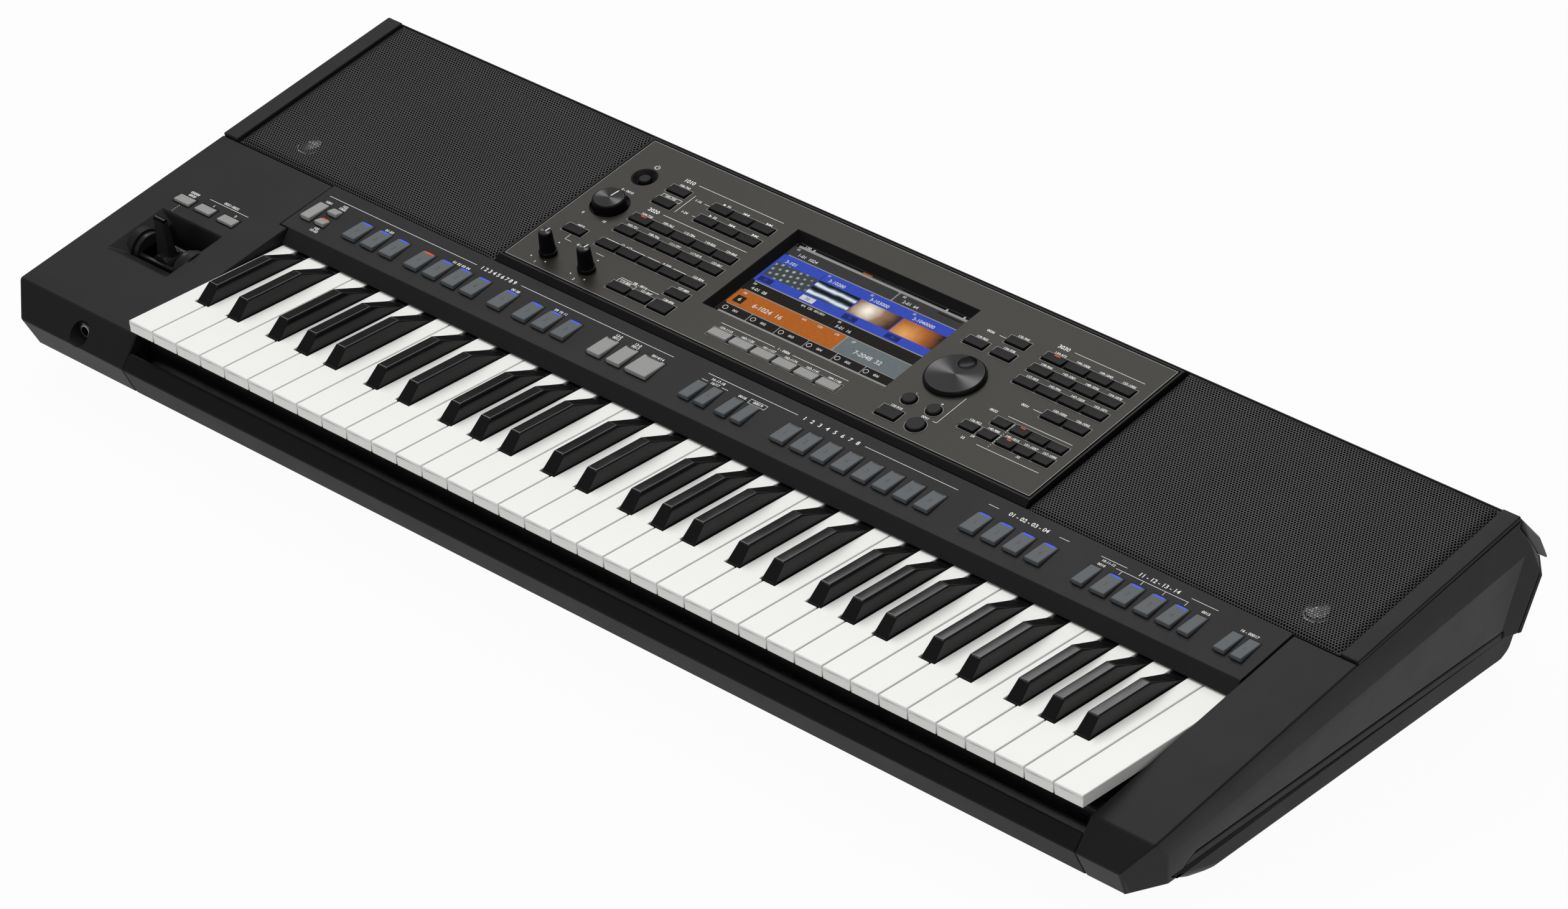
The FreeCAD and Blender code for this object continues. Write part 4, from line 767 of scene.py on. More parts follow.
class KEYBOARD_OT_keys(bpy.types.Operator):
    """Keys with softened edges, one piece for each note name"""

    bl_idname = "keyboard.keys"
    bl_label = "Keys"

    def execute(self, context):
        sizes = plan("keys")
        for note in NOTES:
            node = "key_" + note
            if note.endswith("sharp"):
                dress(node, "black_key", "key_black", node, sizes.black_edge, 3, 20.0, 0.003)
            else:
                dress(node, "white_key", "key_white", node, sizes.white_edge, 3, 40.0, 0.004)
        paint("steel", "key_frame", "pivot_rod")
        paint("board", "contact_board")
        paint("rubber", "contact_rubber")
        paint("felt", "stop_felts")
        return {"FINISHED"}


def cut(bm, point, normal):
    """Takes away what lies beyond a plane."""
    bmesh.ops.bisect_plane(bm, geom=everything(bm), plane_co=point, plane_no=normal, clear_outer=True)


def perforated(low, high, sizes):
    """A sheet of six-sided holes over a rectangle, its border bent down."""
    bm = bmesh.new()
    bmesh.ops.create_circle(bm, segments=6, radius=sizes.pitch / math.sqrt(3.0), cap_ends=True)
    bmesh.ops.inset_region(bm, faces=bm.faces[:], thickness=sizes.web / 2.0, use_boundary=True,
                           use_even_offset=True)
    middle = [face for face in bm.faces if len(face.verts) == 6]
    rim = [edge for face in middle for edge in face.edges]
    bmesh.ops.delete(bm, geom=middle, context="FACES_ONLY")
    # The walls of the holes take the second finish, near-black painted shade
    wall = bmesh.ops.extrude_edge_only(bm, edges=rim)
    for item in wall["geom"]:
        if isinstance(item, bmesh.types.BMFace):
            item.material_index = 1
    bmesh.ops.translate(bm, vec=(0.0, 0.0, -sizes.sheet), verts=verts_of(wall))
    stretch = sizes.row / (sizes.pitch * math.sqrt(3.0) / 2.0)
    bmesh.ops.scale(bm, vec=(1.0, stretch, 1.0), verts=bm.verts)
    twin = bmesh.ops.duplicate(bm, geom=everything(bm))
    bmesh.ops.translate(bm, vec=(sizes.pitch / 2.0, sizes.row, 0.0), verts=verts_of(twin))
    bmesh.ops.remove_doubles(bm, verts=bm.verts, dist=WELD)
    cell = mesh_of("cell", bm)
    holder = stand("cell", cell)
    for count, step in ((math.ceil((high.x - low.x) / sizes.pitch) + 2, (sizes.pitch, 0.0, 0.0)),
                        (math.ceil((high.y - low.y) / sizes.row / 2.0) + 2, (0.0, sizes.row * 2.0, 0.0))):
        array = holder.modifiers.new("repeat", "ARRAY")
        array.count = count
        array.use_relative_offset = False
        array.use_constant_offset = True
        array.constant_offset_displace = step
        array.use_merge_vertices = True
        array.merge_threshold = WELD
    bm = evaluated(holder)
    bpy.data.meshes.remove(cell)
    start = (low.x - sizes.pitch * 0.7, low.y - sizes.row * 0.7, high.z)
    bmesh.ops.translate(bm, vec=start, verts=bm.verts)
    for point, normal in ((low, (-1, 0, 0)), (low, (0, -1, 0)), (high, (1, 0, 0)), (high, (0, 1, 0))):
        cut(bm, point, normal)
    for vert in bm.verts:
        near_x = min(vert.co.x - low.x, high.x - vert.co.x) / sizes.roll
        near_s = min(vert.co.y - low.y, high.y - vert.co.y) / sizes.roll
        bend = max(0.0, 1.0 - near_x) ** 2 + max(0.0, 1.0 - near_s) ** 2
        vert.co.z -= sizes.roll_drop * min(1.0, bend)
    return bm


class KEYBOARD_OT_grilles(bpy.types.Operator):
    """Perforated speaker grilles with rolled borders, and the speakers below"""

    bl_idname = "keyboard.grilles"
    bl_label = "Speaker grilles"

    def execute(self, context):
        sizes = plan("grilles")
        for side in ("left", "right"):
            node = "speaker_grille_" + side
            box = Box([OFF_DECK @ vert.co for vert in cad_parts[node].data.vertices])
            low, high = box.low, box.high
            for part, x0, x1 in (("outer", low.x, box.x), ("inner", box.x, high.x)):
                bm = perforated(low, high, sizes)
                cut(bm, (x0, 0, 0), (-1, 0, 0))
                cut(bm, (x1, 0, 0), (1, 0, 0))
                bm.transform(DECK)
                add_piece("_".join((node, "mesh", part)), bm, ("mesh", "well"), "case", "grille_mesh")
            bm = quad(box.wide, box.deep)
            border = high.z - sizes.roll_drop
            bmesh.ops.translate(bm, vec=(box.x, box.s, border), verts=bm.verts)
            bmesh.ops.delete(bm, geom=bm.faces[:], context="FACES_ONLY")
            skirt = bmesh.ops.extrude_edge_only(bm, edges=bm.edges[:])
            bmesh.ops.translate(bm, vec=(0.0, 0.0, low.z - border), verts=verts_of(skirt))
            bmesh.ops.recalc_face_normals(bm, faces=bm.faces[:])
            bmesh.ops.solidify(bm, geom=bm.faces[:], thickness=sizes.sheet)
            bm.transform(DECK)
            # The border's walls take the black trim finish, darker than the sheet: painted shade
            add_piece(node + "_skirt", bm, ("trim",), "case", "grille_mesh", node)
        paint("baffle", "woofer_frames")
        paint("cone", "woofer_cones")
        paint("dome", "tweeters")
        return {"FINISHED"}


PANEL_BUTTONS = ("panel_buttons_left", "panel_buttons_right", "assign_buttons")
# Buttons of one row stand in one well up to this gap, apart from where a well ends (back, across)
WELL_GAP = 3.6
WELL_SPLITS = ((262.1, -149.0), (249.3, 165.3), (249.3, 181.1), (264.0, 181.1))
# A well's strips of painted shade lie this far outside its buttons and are this wide
WELL_MARGIN = 0.9
WELL_SHADE_STRIP = 0.5


def well_rows():
    """Neighbouring buttons that share one well, drawn as dark strips of painted shade."""
    boxes = [box for node in PANEL_BUTTONS for box in islands(node) if not box.is_round()]
    rows = []
    for box in sorted(boxes, key=lambda box: (round(box.low.y, 1), box.low.x)):
        joined = False
        if rows:
            before = rows[-1][-1].high
            alike = abs(before.y - box.high.y) < ALIKE and 0.0 < box.low.x - before.x < WELL_GAP
            joined = alike and not any(abs(box.s - s) < 2.0 and before.x < x < box.low.x for s, x in WELL_SPLITS)
        if joined:
            rows[-1].append(box)
        else:
            rows.append([box])
    return rows


class KEYBOARD_OT_panel(bpy.types.Operator):
    """Centre plate in its black frame, with the dishes, the screen surround and the buttons' wells, drawn as
    strips of painted shade edged with lines of painted highlight
    """

    bl_idname = "keyboard.panel"
    bl_label = "Centre panel"

    def execute(self, context):
        edge = plan("case").trim_edge
        dress("panel_frame", "trim", "frame_black", "case", edge)
        dress("centre_panel", "plate", "panel_plate", "case", edge * 0.5, 2, 40.0)
        dress("panel_bezels", "trim", "frame_black", "case", edge * 0.6)
        bm = bmesh.new()
        # Pale lines of painted highlight along the plate's edge, round each well and round the round buttons;
        # inside the wells and between their buttons, dark strips of painted shade
        outline(bm, *islands("centre_panel")[0].sides(-0.4), 0.4)
        for row in well_rows():
            well = Box((row[0].low, (row[-1].high.x, row[0].high.y, row[0].high.z)))
            outline(bm, *well.sides(WELL_MARGIN + 0.15), 0.3)
            surround(bm, *well.sides(WELL_MARGIN), WELL_SHADE_STRIP, 1, PLATE_TOP)
            front, rear = well.sides(WELL_MARGIN - WELL_SHADE_STRIP)[2:]
            for left, right in zip(row, row[1:]):
                patch(bm, left.high.x + 0.4, right.low.x - 0.4, front, rear, PLATE_TOP, index=1)
        for box in islands("panel_buttons_right"):
            if box.is_round():
                ring(bm, on_deck(box.x, box.s, PLATE_TOP), box.wide / 2 + 0.8, 0.3)
        add_piece("plate_wells", bm, ("edge_line", "well"), "case", "panel_plate")
        paint("board", "panel_boards", "floor_boards")
        paint("inner", "rotary_controls")
        return {"FINISHED"}


SCREEN_KEYS = ("tile_dark", "tile_grey", "tile_blue", "tile_orange", "tile_slate", "tile_label", "tile_mark",
               "picture_1", "picture_2", "picture_3", "picture_4")
# Tiles by finish: left, right, front, rear and corner radius
SCREEN_BARS = {
    "tile_grey": ((-77.2, 17.8, 330.6, 340.3, 1.0), (18.9, 77.5, 330.6, 340.3, 1.0)),
    "tile_blue": ((-77.2, 77.5, 296.0, 329.7, 1.2),),
    "tile_dark": (
        (-77.2, 77.5, 284.8, 294.9, 0.8), (-76.2, -51.0, 258.2, 266.2, 0.4),
        (-50.2, -25.6, 258.2, 266.2, 0.4), (-24.8, 0.4, 258.2, 266.2, 0.4), (1.2, 26.2, 258.2, 266.2, 0.4),
        (27.0, 51.6, 258.2, 266.2, 0.4), (52.4, 77.5, 258.2, 266.2, 0.4),
    ),
    "tile_orange": ((-76.7, 19.6, 267.0, 283.9, 1.2),),
    "tile_slate": ((20.7, 77.5, 267.0, 283.9, 1.2),),
}
SCREEN_OVER = {
    "picture_1": ((-75.1, -38.0, 304.0, 320.4, 0.0),),
    "picture_2": ((-37.1, 0.0, 304.0, 320.4, 0.0),),
    "picture_3": ((1.0, 38.1, 304.0, 320.4, 0.0),),
    "picture_4": ((39.1, 77.0, 304.0, 320.4, 0.0),),
    "tile_label": (
        (-74.7, -62.6, 297.3, 302.4, 0.4), (1.7, 13.8, 297.3, 302.4, 0.4), (39.9, 52.0, 297.3, 302.4, 0.4),
        (-37.65, -37.35, 296.4, 329.4, 0.0),
    ),
    "tile_mark": ((-36.3, -24.3, 297.3, 302.4, 0.4),),
    "tile_grey": (
        (0.5, 0.8, 286.0, 293.8, 0.0), (-8.6, -0.3, 342.6, 343.8, 0.0), (0.5, 8.8, 342.6, 343.8, 0.0),
        (9.6, 17.8, 342.6, 343.8, 0.0),
    ),
    "tile_dark": ((-73.3, -65.4, 270.0, 277.6, 0.3), (54.0, 75.0, 337.4, 338.8, 0.0)),
    "tile_orange": ((-17.7, -9.4, 342.5, 343.9, 0.0),),
}
# Figures by size: text, across, back
SCREEN_FIGURES = {
    3.6: (("120  4", -66.0, 343.1),),
    3.4: (("8", 57.5, 343.1), ("8", 73.0, 343.1)),
    2.8: (("01", -72.0, 338.2), ("02", 24.0, 338.2), ("04", -72.0, 292.8), ("05", 5.0, 292.8)),
    4.0: (
        ("1-01  1024", -60.0, 333.8), ("2-01  64", 33.0, 333.8), ("4-01  08", -64.5, 288.2),
        ("5-01  16", 12.0, 288.2),
    ),
    4.4: (
        ("3-101", -66.0, 323.6), ("3-10200", -24.5, 323.6), ("3-103000", 14.0, 323.6),
        ("3-1040000", 53.5, 323.6),
    ),
    2.6: (("31", -34.5, 327.5), ("32", 4.0, 327.5), ("33", 42.0, 327.5)),
    3.0: (
        ("4/4  120  001/001", -19.0, 292.6), ("06", -70.5, 281.2), ("4/4", -17.3, 281.4),
        ("120", -3.0, 281.4), ("1/4", 12.3, 281.4), ("07", 27.5, 281.4),
    ),
    6.0: (("6-1024  16", -44.0, 273.6),),
    5.6: (("7-2048  32", 46.5, 273.6),),
}
ON_BARS = GLASS_TOP + 0.06
ON_OVER = GLASS_TOP + 0.11


class KEYBOARD_OT_screen(bpy.types.Operator):
    """Display glass with plain coloured tiles, pictures of light and figures"""

    bl_idname = "keyboard.screen"
    bl_label = "Display"

    def execute(self, context):
        dress("touch_screen", "glass", "screen_glass", "case", 0.0002, 1)
        bm = bmesh.new()
        for lift, table in ((GLASS_TOP, SCREEN_BARS), (GLASS_TOP + TILE_HEIGHT, SCREEN_OVER)):
            for key, tiles in table.items():
                for *sides, radius in tiles:
                    patch(bm, *sides, lift, radius, SCREEN_KEYS.index(key), TILE_HEIGHT)
        pale = SCREEN_KEYS.index("tile_mark")
        figures(bm, SCREEN_FIGURES, ON_BARS, pale)
        figure(bm, "6", 5.0, on_deck(-69.3, 273.8, ON_OVER), pale)
        for number in range(6):
            x = -72.0 + number * 25.4
            ring(bm, on_deck(x, 262.2, GLASS_TOP + 0.08), 1.9, 0.45, pale, 0.04, 20)
            figure(bm, "00" + str(number + 1), 3.2, on_deck(x + 9.0, 262.2, ON_BARS), pale)
        for number, x in enumerate((-68.7, -30.3, 7.7, 45.9), 1):
            key = "tile_label" if number == 2 else "tile_blue"
            figure(bm, "3" + str(number), 3.4, on_deck(x, 299.8, ON_OVER), SCREEN_KEYS.index(key))
        add_piece("display_tiles", bm, SCREEN_KEYS, "case", "display")
        paint("inner", "lcd_module")
        return {"FINISHED"}


# Finish, slot, the lamp of each pad from left to right (off, blue, orange or none) and the figure on it
PADS = {
    "style_pads": ("pad", "pad_grey", "bbbobbbbbbb", "1231234+123"),
    "registration_pads": ("pad", "pad_grey", "  - --------", "-+  12345678"),
    "one_touch_pads": ("pad", "pad_grey", "bbbb", "1234"),
    "multi_pads": ("pad", "pad_grey", " bbbb   ", " 1234 -+"),
    "transport_pads": ("light_pad", "pad_light", " o ---", ""),
}
LAMPS = {"-": "lamp_off", "b": "lamp_blue", "o": "lamp_orange"}
# How far a top stands up at its front and at its rear, in millimetres
PAD_HEIGHTS = (3.0, 0.9)
BUTTON_HEIGHTS = (2.0, 0.8)
# A lamp's share of its button's width, its share of the way back, and its depth when lit
PAD_LAMPS = (0.66, 0.945, 1.5)
BUTTON_LAMPS = (0.28, 0.87, 0.9)
LAMP_HEIGHT = 0.3
LAMP_LIFT = 0.03


def add_lamps(node, slot, boxes, states, heights, lamp):
    """Lamp windows at the rear of each button: one mesh, with a finish for each state."""
    wide_share, back_share, deep = lamp
    bm = bmesh.new()
    for box, state in zip(boxes, states):
        if state in LAMPS:
            bar(bm, on_top(box, back_share, heights, LAMP_LIFT), box.wide * wide_share,
                deep * 0.5 if state == "-" else deep, LAMP_HEIGHT, list(LAMPS).index(state))
    add_piece(node + "_lamps", bm, LAMPS.values(), node, slot)


def pad_boxes(node):
    """Pads from left to right, and where one stands behind another from front to back."""
    return sorted(islands(node), key=lambda box: (round(box.x), box.s))


class KEYBOARD_OT_pads(bpy.types.Operator):
    """Strip pads with their lamps and figures, and strips of painted shade round them"""

    bl_idname = "keyboard.pads"
    bl_label = "Strip pads"

    def execute(self, context):
        edge = plan("panel").button_edge * 1.6
        for node, (key, slot, _, _) in PADS.items():
            dress(node, key, slot, node, edge, 3, 30.0)
        for node, (_, slot, states, _) in PADS.items():
            add_lamps(node, slot, pad_boxes(node), states, PAD_HEIGHTS, PAD_LAMPS)
        # Strips of painted shade round each pad and joystick button, where the gaps round them lie in shade
        bm = bmesh.new()
        for node in (*PADS, "joystick_buttons"):
            for box in islands(node):
                x0, x1, s0, s1 = box.sides(1.0)
                surround(bm, x0 - 0.1, x1 - 0.1, s0 - 0.1, s1 - 0.1, 0.85, 0, STRIP_TOP)
        add_piece("strip_wells", bm, ("well",), "case", "case_charcoal")
        for node, (_, slot, _, texts) in PADS.items():
            if not texts:
                continue
            bm = bmesh.new()
            for box, text in zip(pad_boxes(node), texts):
                if text != " ":
                    figure(bm, text, 6.0, on_top(box, 0.46, PAD_HEIGHTS))
            add_piece(node + "_figures", bm, ("print_dark",), node, slot)
        return {"FINISHED"}


# The panel buttons whose lamps are lit (across, back)
LIT_BUTTONS = {"panel_buttons_left": ((-180.7, 296.2),),
               "panel_buttons_right": ((159.1, 335.3), (189.1, 249.2), (189.1, 264.0))}
LIT_REACH = 4.0
LAMP_BUTTON_DEPTH = 9.0


class KEYBOARD_OT_buttons(bpy.types.Operator):
    """Panel buttons, joystick buttons and the power button"""

    bl_idname = "keyboard.buttons"
    bl_label = "Panel buttons"

    def execute(self, context):
        edge = plan("panel").button_edge
        for node, key, slot in (("panel_buttons_left", "button", "button_black"),
                                ("panel_buttons_right", "button", "button_black"),
                                ("assign_buttons", "light_pad", "pad_light"),
                                ("joystick_buttons", "light_pad", "pad_light"),
                                ("power_button", "button", "button_black")):
            dress(node, key, slot, node, edge, 2, 30.0)
        for node, spots in LIT_BUTTONS.items():
            boxes = islands(node)
            states = [self.state(box, spots) for box in boxes]
            add_lamps(node, "button_black", boxes, states, BUTTON_HEIGHTS, BUTTON_LAMPS)
        return {"FINISHED"}

    @staticmethod
    def state(box, spots):
        """Deeper and round buttons have no lamp."""
        if box.deep > LAMP_BUTTON_DEPTH:
            return " "
        near = any(abs(box.x - x) < LIT_REACH and abs(box.s - s) < LIT_REACH for x, s in spots)
        return "o" if near else "-"


# The turned face of a knob lies inside its rim, near its top, and looks up
KNOB_RIM = 1.9
KNOB_FACE_DEPTH = 1.0
LOOKS_UP = 0.97
POINTER_TURN = math.radians(-8.0)


class KEYBOARD_OT_knobs(bpy.types.Operator):
    """Volume knob, live controls and the data dial"""

    bl_idname = "keyboard.knobs"
    bl_label = "Knobs and dial"

    def execute(self, context):
        up = DECK.to_3x3() @ Vector((0.0, 0.0, 1.0))
        turn = Matrix.Rotation(POINTER_TURN, 4, "Z")
        for node, pointer in (("volume_knob", (2.0, 9.6)), ("live_knob_1", (0.6, 4.6)),
                              ("live_knob_2", (0.6, 4.6)), ("data_dial", None)):
            box = islands(node)[0]
            top = on_deck(box.x, box.s, box.high.z)
            # The turned face's finish carries a painted sheen as well as its rings.
            RECIPES["spun_" + node] = lambda node=node, top=top: spun(
                node + "_turned", (0.020, 0.020, 0.0205), top.translation)
            bm = cad_copy(node)
            round_edges(bm, 0.0005, 2, 30.0)
            for face in bm.faces:
                middle = OFF_DECK @ face.calc_center_median() / MM
                inside = math.hypot(middle.x - box.x, middle.y - box.s) < box.wide / 2 - KNOB_RIM
                near_top = middle.z > box.high.z - KNOB_FACE_DEPTH
                if inside and near_top and face.normal.dot(up) > LOOKS_UP:
                    face.material_index = 1
            add_piece(node + "_finished", bm, ("knob", "spun_" + node), node, "knob_black", node, even=True)
            if pointer:
                inner, outer = pointer
                bm = bmesh.new()
                bar(bm, top @ turn @ Matrix.Translation((0.0, (inner + outer) / 2 * MM, 0.0)), 0.9,
                    outer - inner, 0.24)
                add_piece(node + "_pointer", bm, ("print",), node, "knob_black")
        return {"FINISHED"}


class KEYBOARD_OT_joystick(bpy.types.Operator):
    """Joystick lever and its drum"""

    bl_idname = "keyboard.joystick"
    bl_label = "Joystick"

    def execute(self, context):
        dress("joystick_cradle", "stick", "inner_plastic", "joystick_cradle", 0.0006, 2, 35.0)
        dress("joystick_lever", "stick", "button_black", "joystick_lever", 0.0021, 4, 25.0, 0.003)
        return {"FINISHED"}


class KEYBOARD_OT_sockets(bpy.types.Operator):
    """Headphone socket, rear sockets and ports"""

    bl_idname = "keyboard.sockets"
    bl_label = "Sockets"

    def execute(self, context):
        bm = bmesh.new()
        upright = Matrix.Rotation(math.pi / 2, 4, "X")
        for node, rear in (("headphone_jack", False), ("rear_jacks", True)):
            dress(node, "jack", "frame_black", "case", 0.0004, 2, 40.0)
            for box in islands(node, Matrix()):
                mouth = box.high.y if rear else box.low.y
                place = Matrix.Translation((box.x * MM, mouth * MM, box.z * MM))
                ring(bm, place @ upright, 3.95, 1.1, tall=0.3)
        add_piece("socket_rings", bm, ("steel",), "case", "frame_black")
        dress("rear_ports", "jack", "frame_black", "case", 0.0003, 2, 40.0)
        return {"FINISHED"}


# Printed lines across the deck (back, from, to) and along it (across, from, to), and figures by size
STRIP_RULES = (
    (197.5, -389.7, -245.2), (197.5, -202.8, -60.0), (197.8, -28.5, 51.8), (197.8, 111.0, 191.2),
    (198.2, 217.0, 225.5), (198.2, 276.2, 284.5), (198.7, 310.5, 331.8), (198.7, 384.0, 405.5),
    (194.5, 326.0, 385.0), (147.0, -459.8, -421.2), (191.0, -28.5, -23.0), (191.0, -10.5, -4.8),
)
STRIP_TICKS = tuple((x, 194.0, 190.6) for x in (331.1, 348.8, 366.6, 384.6))
STRIP_FIGURES = {
    5.0: (
        ("1 2 3 4 5 6 7 8 9", -224.1, 197.2), ("1   2   3   4   5   6   7   8", 81.4, 197.6),
        ("01 - 02 - 03 - 04", 250.8, 198.2), ("11 - 12 - 13 - 14", 358.0, 198.6),
    ),
    3.3: (
        ("1001", -384.5, 191.3), ("102", -371.0, 194.0), ("1002", -371.0, 191.1), ("103", -370.6, 164.6),
        ("10-03", -370.6, 161.7), ("01-03", -324.0, 190.9), ("01 02 03 04", -253.8, 190.9),
        ("00 08", -201.8, 190.9), ("09 10 11", -158.7, 190.9), ("12-0", -106.8, 193.6),
        ("0012", -106.8, 190.8), ("13-0", -89.2, 193.6), ("0013", -89.2, 190.8), ("0014/14", -68.4, 190.8),
        ("16-17-18", -16.7, 194.5), ("16/17", -16.7, 191.1), ("0018", 8.0, 191.1), ("00019", 21.9, 191.1),
        ("0015", 400.5, 192.4), ("16 - 00017", 435.4, 192.4), ("00000", -473.7, 145.7),
        ("0020", -473.7, 142.6), ("1", -451.6, 142.6), ("2", -429.6, 142.6), ("0021-0022", -440.5, 149.5),
    ),
    3.0: (("10-11-12", 318.6, 196.0), ("0010", 316.0, 191.9)),
}
PLATE_RULES = (
    (348.4, -173.2, -94.0), (309.3, -171.5, -93.7), (240.3, -147.5, -137.0), (240.3, -123.0, -112.4),
    (267.6, -186.7, -175.0), (267.6, -162.5, -150.5), (267.6, -147.8, -136.5), (267.6, -123.7, -112.4),
    (251.0, -211.0, -205.0), (251.0, -181.2, -174.0), (334.6, -155.6, -150.8), (319.7, -153.9, -150.3),
    (241.2, -55.4, -7.0), (241.2, 9.0, 58.8), (348.6, 165.6, 225.6), (286.9, 181.0, 188.5),
    (272.1, 171.8, 226.4), (237.8, 173.2, 226.0), (240.2, 133.5, 136.8), (335.2, 111.5, 117.8),
)
PLATE_STEMS = (
    (-167.2, 338.3, 316.2), (-211.0, 256.7, 251.0), (136.8, 240.2, 271.0),
)
PLATE_FIGURES = {
    4.9: (("1010", -181.6, 348.0), ("2020", -180.2, 309.0), ("3030", 156.6, 348.5)),
    3.2: (
        ("-12  +12", -168.8, 267.7), ("5-500", -130.2, 267.7), ("08 - 0016", -129.8, 240.4),
        ("01 - 0002", -193.0, 251.0), ("0025", -211.4, 267.8), ("1-16", -161.4, 334.6),
        ("1-24", -161.0, 319.7), ("0", -221.4, 280.6), ("10", -201.5, 280.6), ("1", -210.9, 220.3),
        ("2", -174.4, 220.5), ("0031", 174.0, 286.9), ("0032", 160.0, 271.4), ("33", 161.0, 238.2),
        ("34", 165.5, 243.0), ("35", 204.5, 243.0), ("0036", 104.0, 335.2), ("1 - 0006", 1.0, 241.2),
        ("0041", 127.0, 240.4), ("0 - 0010", -211.5, 315.8),
    ),
    3.8: (("-", 105.6, 257.2), ("+", 127.4, 257.2)),
}
KNOB_DOTS = (
    (-217.7, 224.0), (-204.3, 224.0), (-211.3, 245.6), (-180.5, 224.2), (-167.4, 224.2), (-174.4, 245.5),
)
# Places behind buttons that hold a player's signs or a title instead of a number (left, right, front, rear)
UNNUMBERED = ((-150.0, -90.0, 318.0, 400.0), (-300.0, -110.0, 265.0, 270.0), (160.0, 300.0, 265.0, 275.0))
FIRST_NUMBER = 101
FIGURE_GAP = 2.4


class KEYBOARD_OT_prints(bpy.types.Operator):
    """Printed rules, figures and plain signs on the strip and the plate"""

    bl_idname = "keyboard.prints"
    bl_label = "Printed marks"

    def execute(self, context):
        bm = bmesh.new()
        rules(bm, STRIP_RULES, STRIP_TICKS, STRIP_TOP)
        dots(bm, [(-473.7, 122.8 + number * 1.7) for number in range(6)], 0.3, STRIP_TOP)
        figures(bm, STRIP_FIGURES, STRIP_TOP)
        outline(bm, 14.6, 29.2, 188.9, 193.2, 0.3, STRIP_TOP)
        add_piece("strip_prints", bm, ("print",), "case", "case_charcoal")
        bm = bmesh.new()
        rules(bm, PLATE_RULES, PLATE_STEMS, PLATE_TOP)
        dots(bm, KNOB_DOTS, 0.6)
        dots(bm, [(181.1, 240.6 + number * 2.2) for number in range(13)], 0.32)
        self.player_signs(bm)
        ring(bm, on_deck(-212.6, 348.1, PLATE_TOP) @ Matrix.Rotation(math.radians(130.0), 4, "Z"), 1.9, 0.5,
             sides=24, turn=0.78)
        self.stroke(bm, -212.6, 349.6, 0.5, 2.2)
        outline(bm, -188.3, -171.0, 324.4, 328.4, 0.3)
        outline(bm, -147.8, -131.4, 234.8, 238.8, 0.3)
        figures(bm, PLATE_FIGURES, PLATE_TOP)
        self.button_figures(bm)
        add_piece("plate_prints", bm, ("print",), "case", "panel_plate")
        return {"FINISHED"}

    def player_signs(self, bm):
        """Play, pause and skip signs at the two rows of player buttons."""
        for x, s in ((-141.2, 341.6), (-141.2, 326.6)):
            self.arrow(bm, x - 1.9, s, 1)
            for shift in (1.7, 3.3):
                self.stroke(bm, x + shift, s, 0.7, 2.4)
        for x, s, way in ((-122.0, 341.5, -1), (-122.0, 326.5, -1), (-102.0, 341.6, 1), (-102.0, 326.7, 1)):
            for shift in (-1.2, 1.2):
                self.arrow(bm, x + shift, s, way)
            self.stroke(bm, x + 2.9 * way, s, 0.6, 2.4)

    def button_figures(self, bm):
        """Plain numbers behind the buttons, apart from those with signs, a title or a round top."""
        boxes = [box for node in PANEL_BUTTONS for box in islands(node)]
        for number, box in enumerate(boxes, FIRST_NUMBER):
            x, s = box.x, box.high.y + FIGURE_GAP
            bare = any(x0 < x < x1 and s0 < s < s1 for x0, x1, s0, s1 in UNNUMBERED)
            if not (bare or box.is_round()):
                figure(bm, str(number) + "-" + str(number * 7), plan("panel").figure / MM,
                       on_deck(x, s, PLATE_TOP))

    @staticmethod
    def stroke(bm, x, s, wide, deep):
        tile(bm, on_deck(x, s, PLATE_TOP), wide, deep)

    @staticmethod
    def arrow(bm, x, s, way):
        """A solid triangle, as on any player's keys."""
        part = bmesh.new()
        bmesh.ops.create_circle(part, segments=3, radius=1.45 * MM, cap_ends=True)
        thicken(part, PRINT_LIFT)
        merge(bm, part, on_deck(x, s, PLATE_TOP) @ Matrix.Rotation(-math.pi / 2 * way, 4, "Z"))


def soft_box(name, place, target, size, power, mirrored=True):
    """A large area lamp that looks at a point."""
    lamp = bpy.data.lights.new(name, "AREA")
    lamp.shape = "RECTANGLE"
    lamp.size, lamp.size_y = size
    lamp.energy = power
    holder = stand(name, lamp)
    holder.visible_glossy = mirrored
    holder.location = place
    holder.rotation_euler = (Vector(target) - Vector(place)).to_track_quat("-Z", "Y").to_euler()


# The floor lies this far below the feet, and this share of it shows as plain white
FLOOR_DROP = 0.0006
FLOOR_WHITE = 0.96


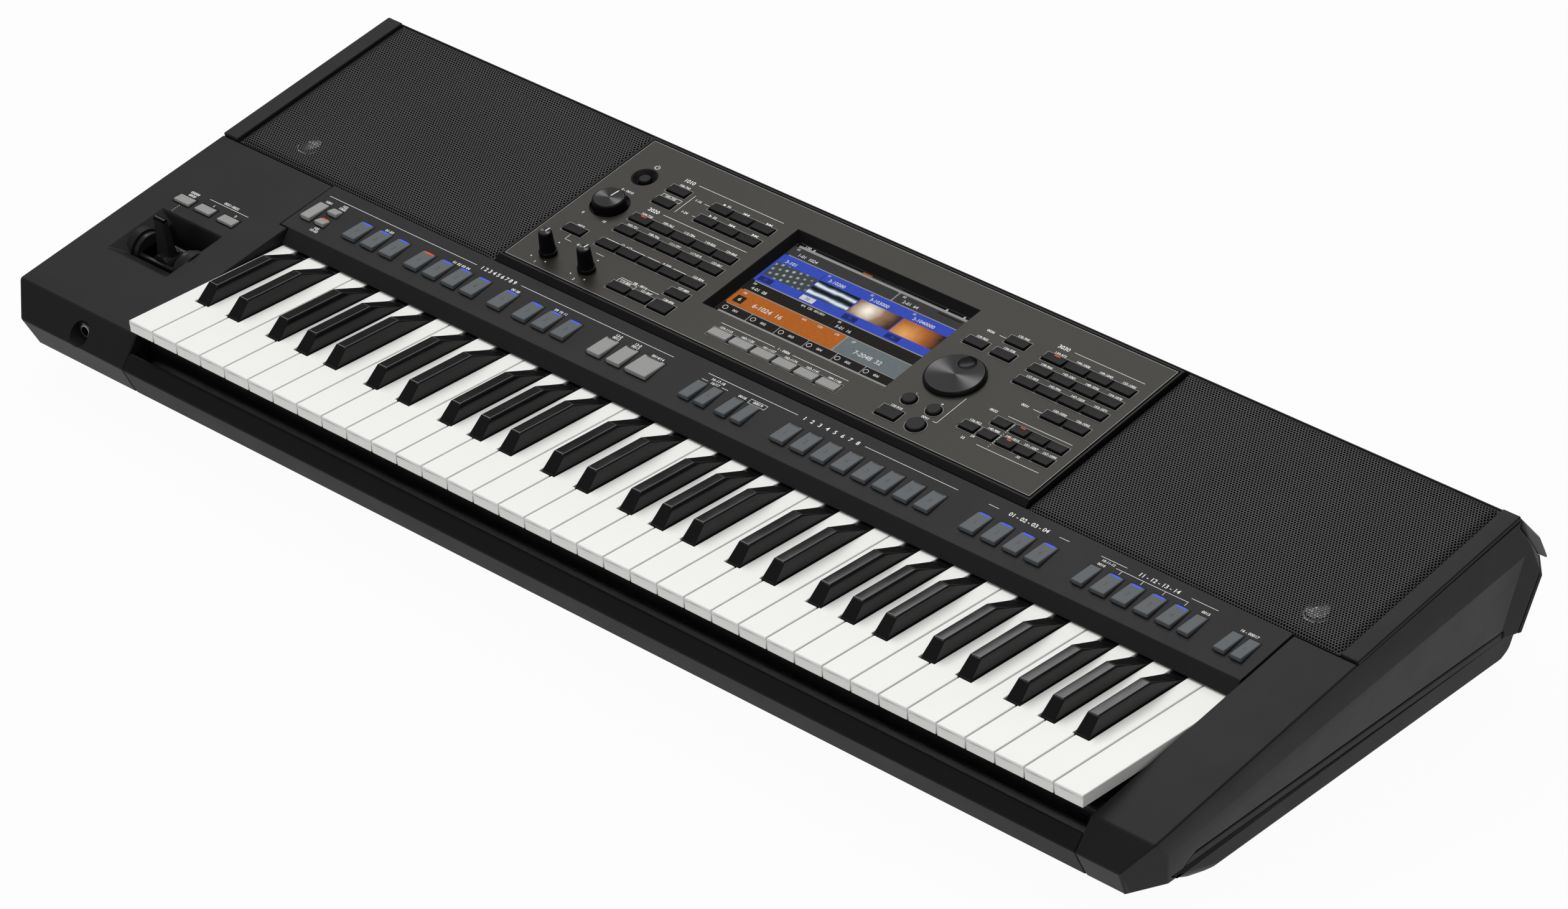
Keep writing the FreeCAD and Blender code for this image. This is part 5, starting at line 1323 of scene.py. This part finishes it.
class KEYBOARD_OT_stage(bpy.types.Operator):
    """Camera, soft lamps and a plain pale floor"""

    bl_idname = "keyboard.stage"
    bl_label = "Stage"

    def execute(self, context):
        sizes = plan("stage")
        scene = context.scene
        scene.view_settings.view_transform = "Standard"
        lens = bpy.data.cameras.new("camera")
        lens.lens = sizes.lens
        lens.sensor_width = 36.0
        lens.clip_end = 60.0
        camera = stand("camera", lens)
        right, up = Vector(sizes.camera_right).normalized(), Vector(sizes.camera_up).normalized()
        turn = Matrix((right, up, right.cross(up))).transposed().to_4x4()
        camera.matrix_world = Matrix.Translation(sizes.camera_place) @ turn
        scene.camera = camera
        soft_box("overhead_soft_box", (0.2, -0.2, 3.0), (0.2, -0.2, 0.0), (4.0, 4.0), sizes.overhead)
        soft_box("rear_soft_box", (-1.7, 1.6, 2.7), (0.1, 0.0, 0.1), (2.9, 1.5), sizes.sheen)
        soft_box("front_soft_box", (-0.6, -3.2, 1.3), (0.0, 0.0, 0.1), (2.6, 1.5), sizes.front, False)
        bm = bmesh.new()
        bmesh.ops.create_grid(bm, x_segments=8, y_segments=8, size=14.0)
        bmesh.ops.translate(bm, vec=(0.0, 0.0, -FLOOR_DROP), verts=bm.verts)
        mesh = mesh_of("floor", bm)
        mesh.materials.append(self.floor_paper(sizes))
        floor = stand("floor", mesh)
        scene.world = self.studio(sizes)
        return {"FINISHED"}

    def floor_paper(self, sizes):
        made = Finish("floor_paper")
        paper = made.add("BsdfDiffuse", {}, {
            "Color": made.tones(made.noise(300.0, 3.0), sizes.floor, 0.99, 1.01)})
        glow = made.add("Emission", {}, {"Color": (1.0, 1.0, 1.0, 1.0), "Strength": 1.0})
        path = made.add("LightPath", output="Is Camera Ray")
        seen = path + path.output("Is Glossy Ray") + path.output("Is Transmission Ray")
        return made.close(made.add("MixShader", {}, {0: seen * FLOOR_WHITE, 1: paper, 2: glow}))

    def studio(self, sizes):
        made = Finish("studio", world=True)
        ways = made.add("SeparateXYZ", {}, {"Vector": made.add("TexCoord", output="Generated")})
        room = made.add("ValToRGB", {"stops": (
            (0.0, (0.50, 0.50, 0.505)), (0.22, (0.50, 0.50, 0.505)), (0.45, (0.16, 0.16, 0.165)),
            (1.0, (0.20, 0.20, 0.20)))}, {0: ways.output("Z")}, "Color")
        return made.close(made.add("Background", {}, {"Color": room, "Strength": sizes.sky}), "OutputWorld")


OPERATORS = (KEYBOARD_OT_stage, KEYBOARD_OT_case, KEYBOARD_OT_keys, KEYBOARD_OT_grilles, KEYBOARD_OT_panel,
             KEYBOARD_OT_screen, KEYBOARD_OT_pads, KEYBOARD_OT_buttons, KEYBOARD_OT_knobs, KEYBOARD_OT_joystick,
             KEYBOARD_OT_sockets, KEYBOARD_OT_prints)


class KEYBOARD_PT_sidebar(bpy.types.Panel):
    """Lists the keyboard's pieces and settings"""

    bl_idname = "KEYBOARD_PT_sidebar"
    bl_label = "Arranger keyboard"
    bl_space_type = "VIEW_3D"
    bl_region_type = "UI"
    bl_category = "Keyboard"

    def draw(self, context):
        for part, group in PLANS.items():
            column = self.layout.column(align=True)
            column.label(text=part.capitalize())
            for setting in group.__annotations__:
                column.prop(plan(part), setting)
        for operator in OPERATORS:
            self.layout.operator(operator.bl_idname)


CLASSES = (*PLANS.values(), *OPERATORS, KEYBOARD_PT_sidebar)


def register():
    for item in CLASSES:
        bpy.utils.register_class(item)
    for part, group in PLANS.items():
        setattr(bpy.types.Scene, "keyboard_" + part, PointerProperty(type=group))


def unregister():
    for part in PLANS:
        delattr(bpy.types.Scene, "keyboard_" + part)
    for item in reversed(CLASSES):
        bpy.utils.unregister_class(item)


def main():
    register()
    for operator in OPERATORS:
        family, verb = operator.bl_idname.split(".")
        getattr(getattr(bpy.ops, family), verb)()


if __name__ == "__main__":
    main()
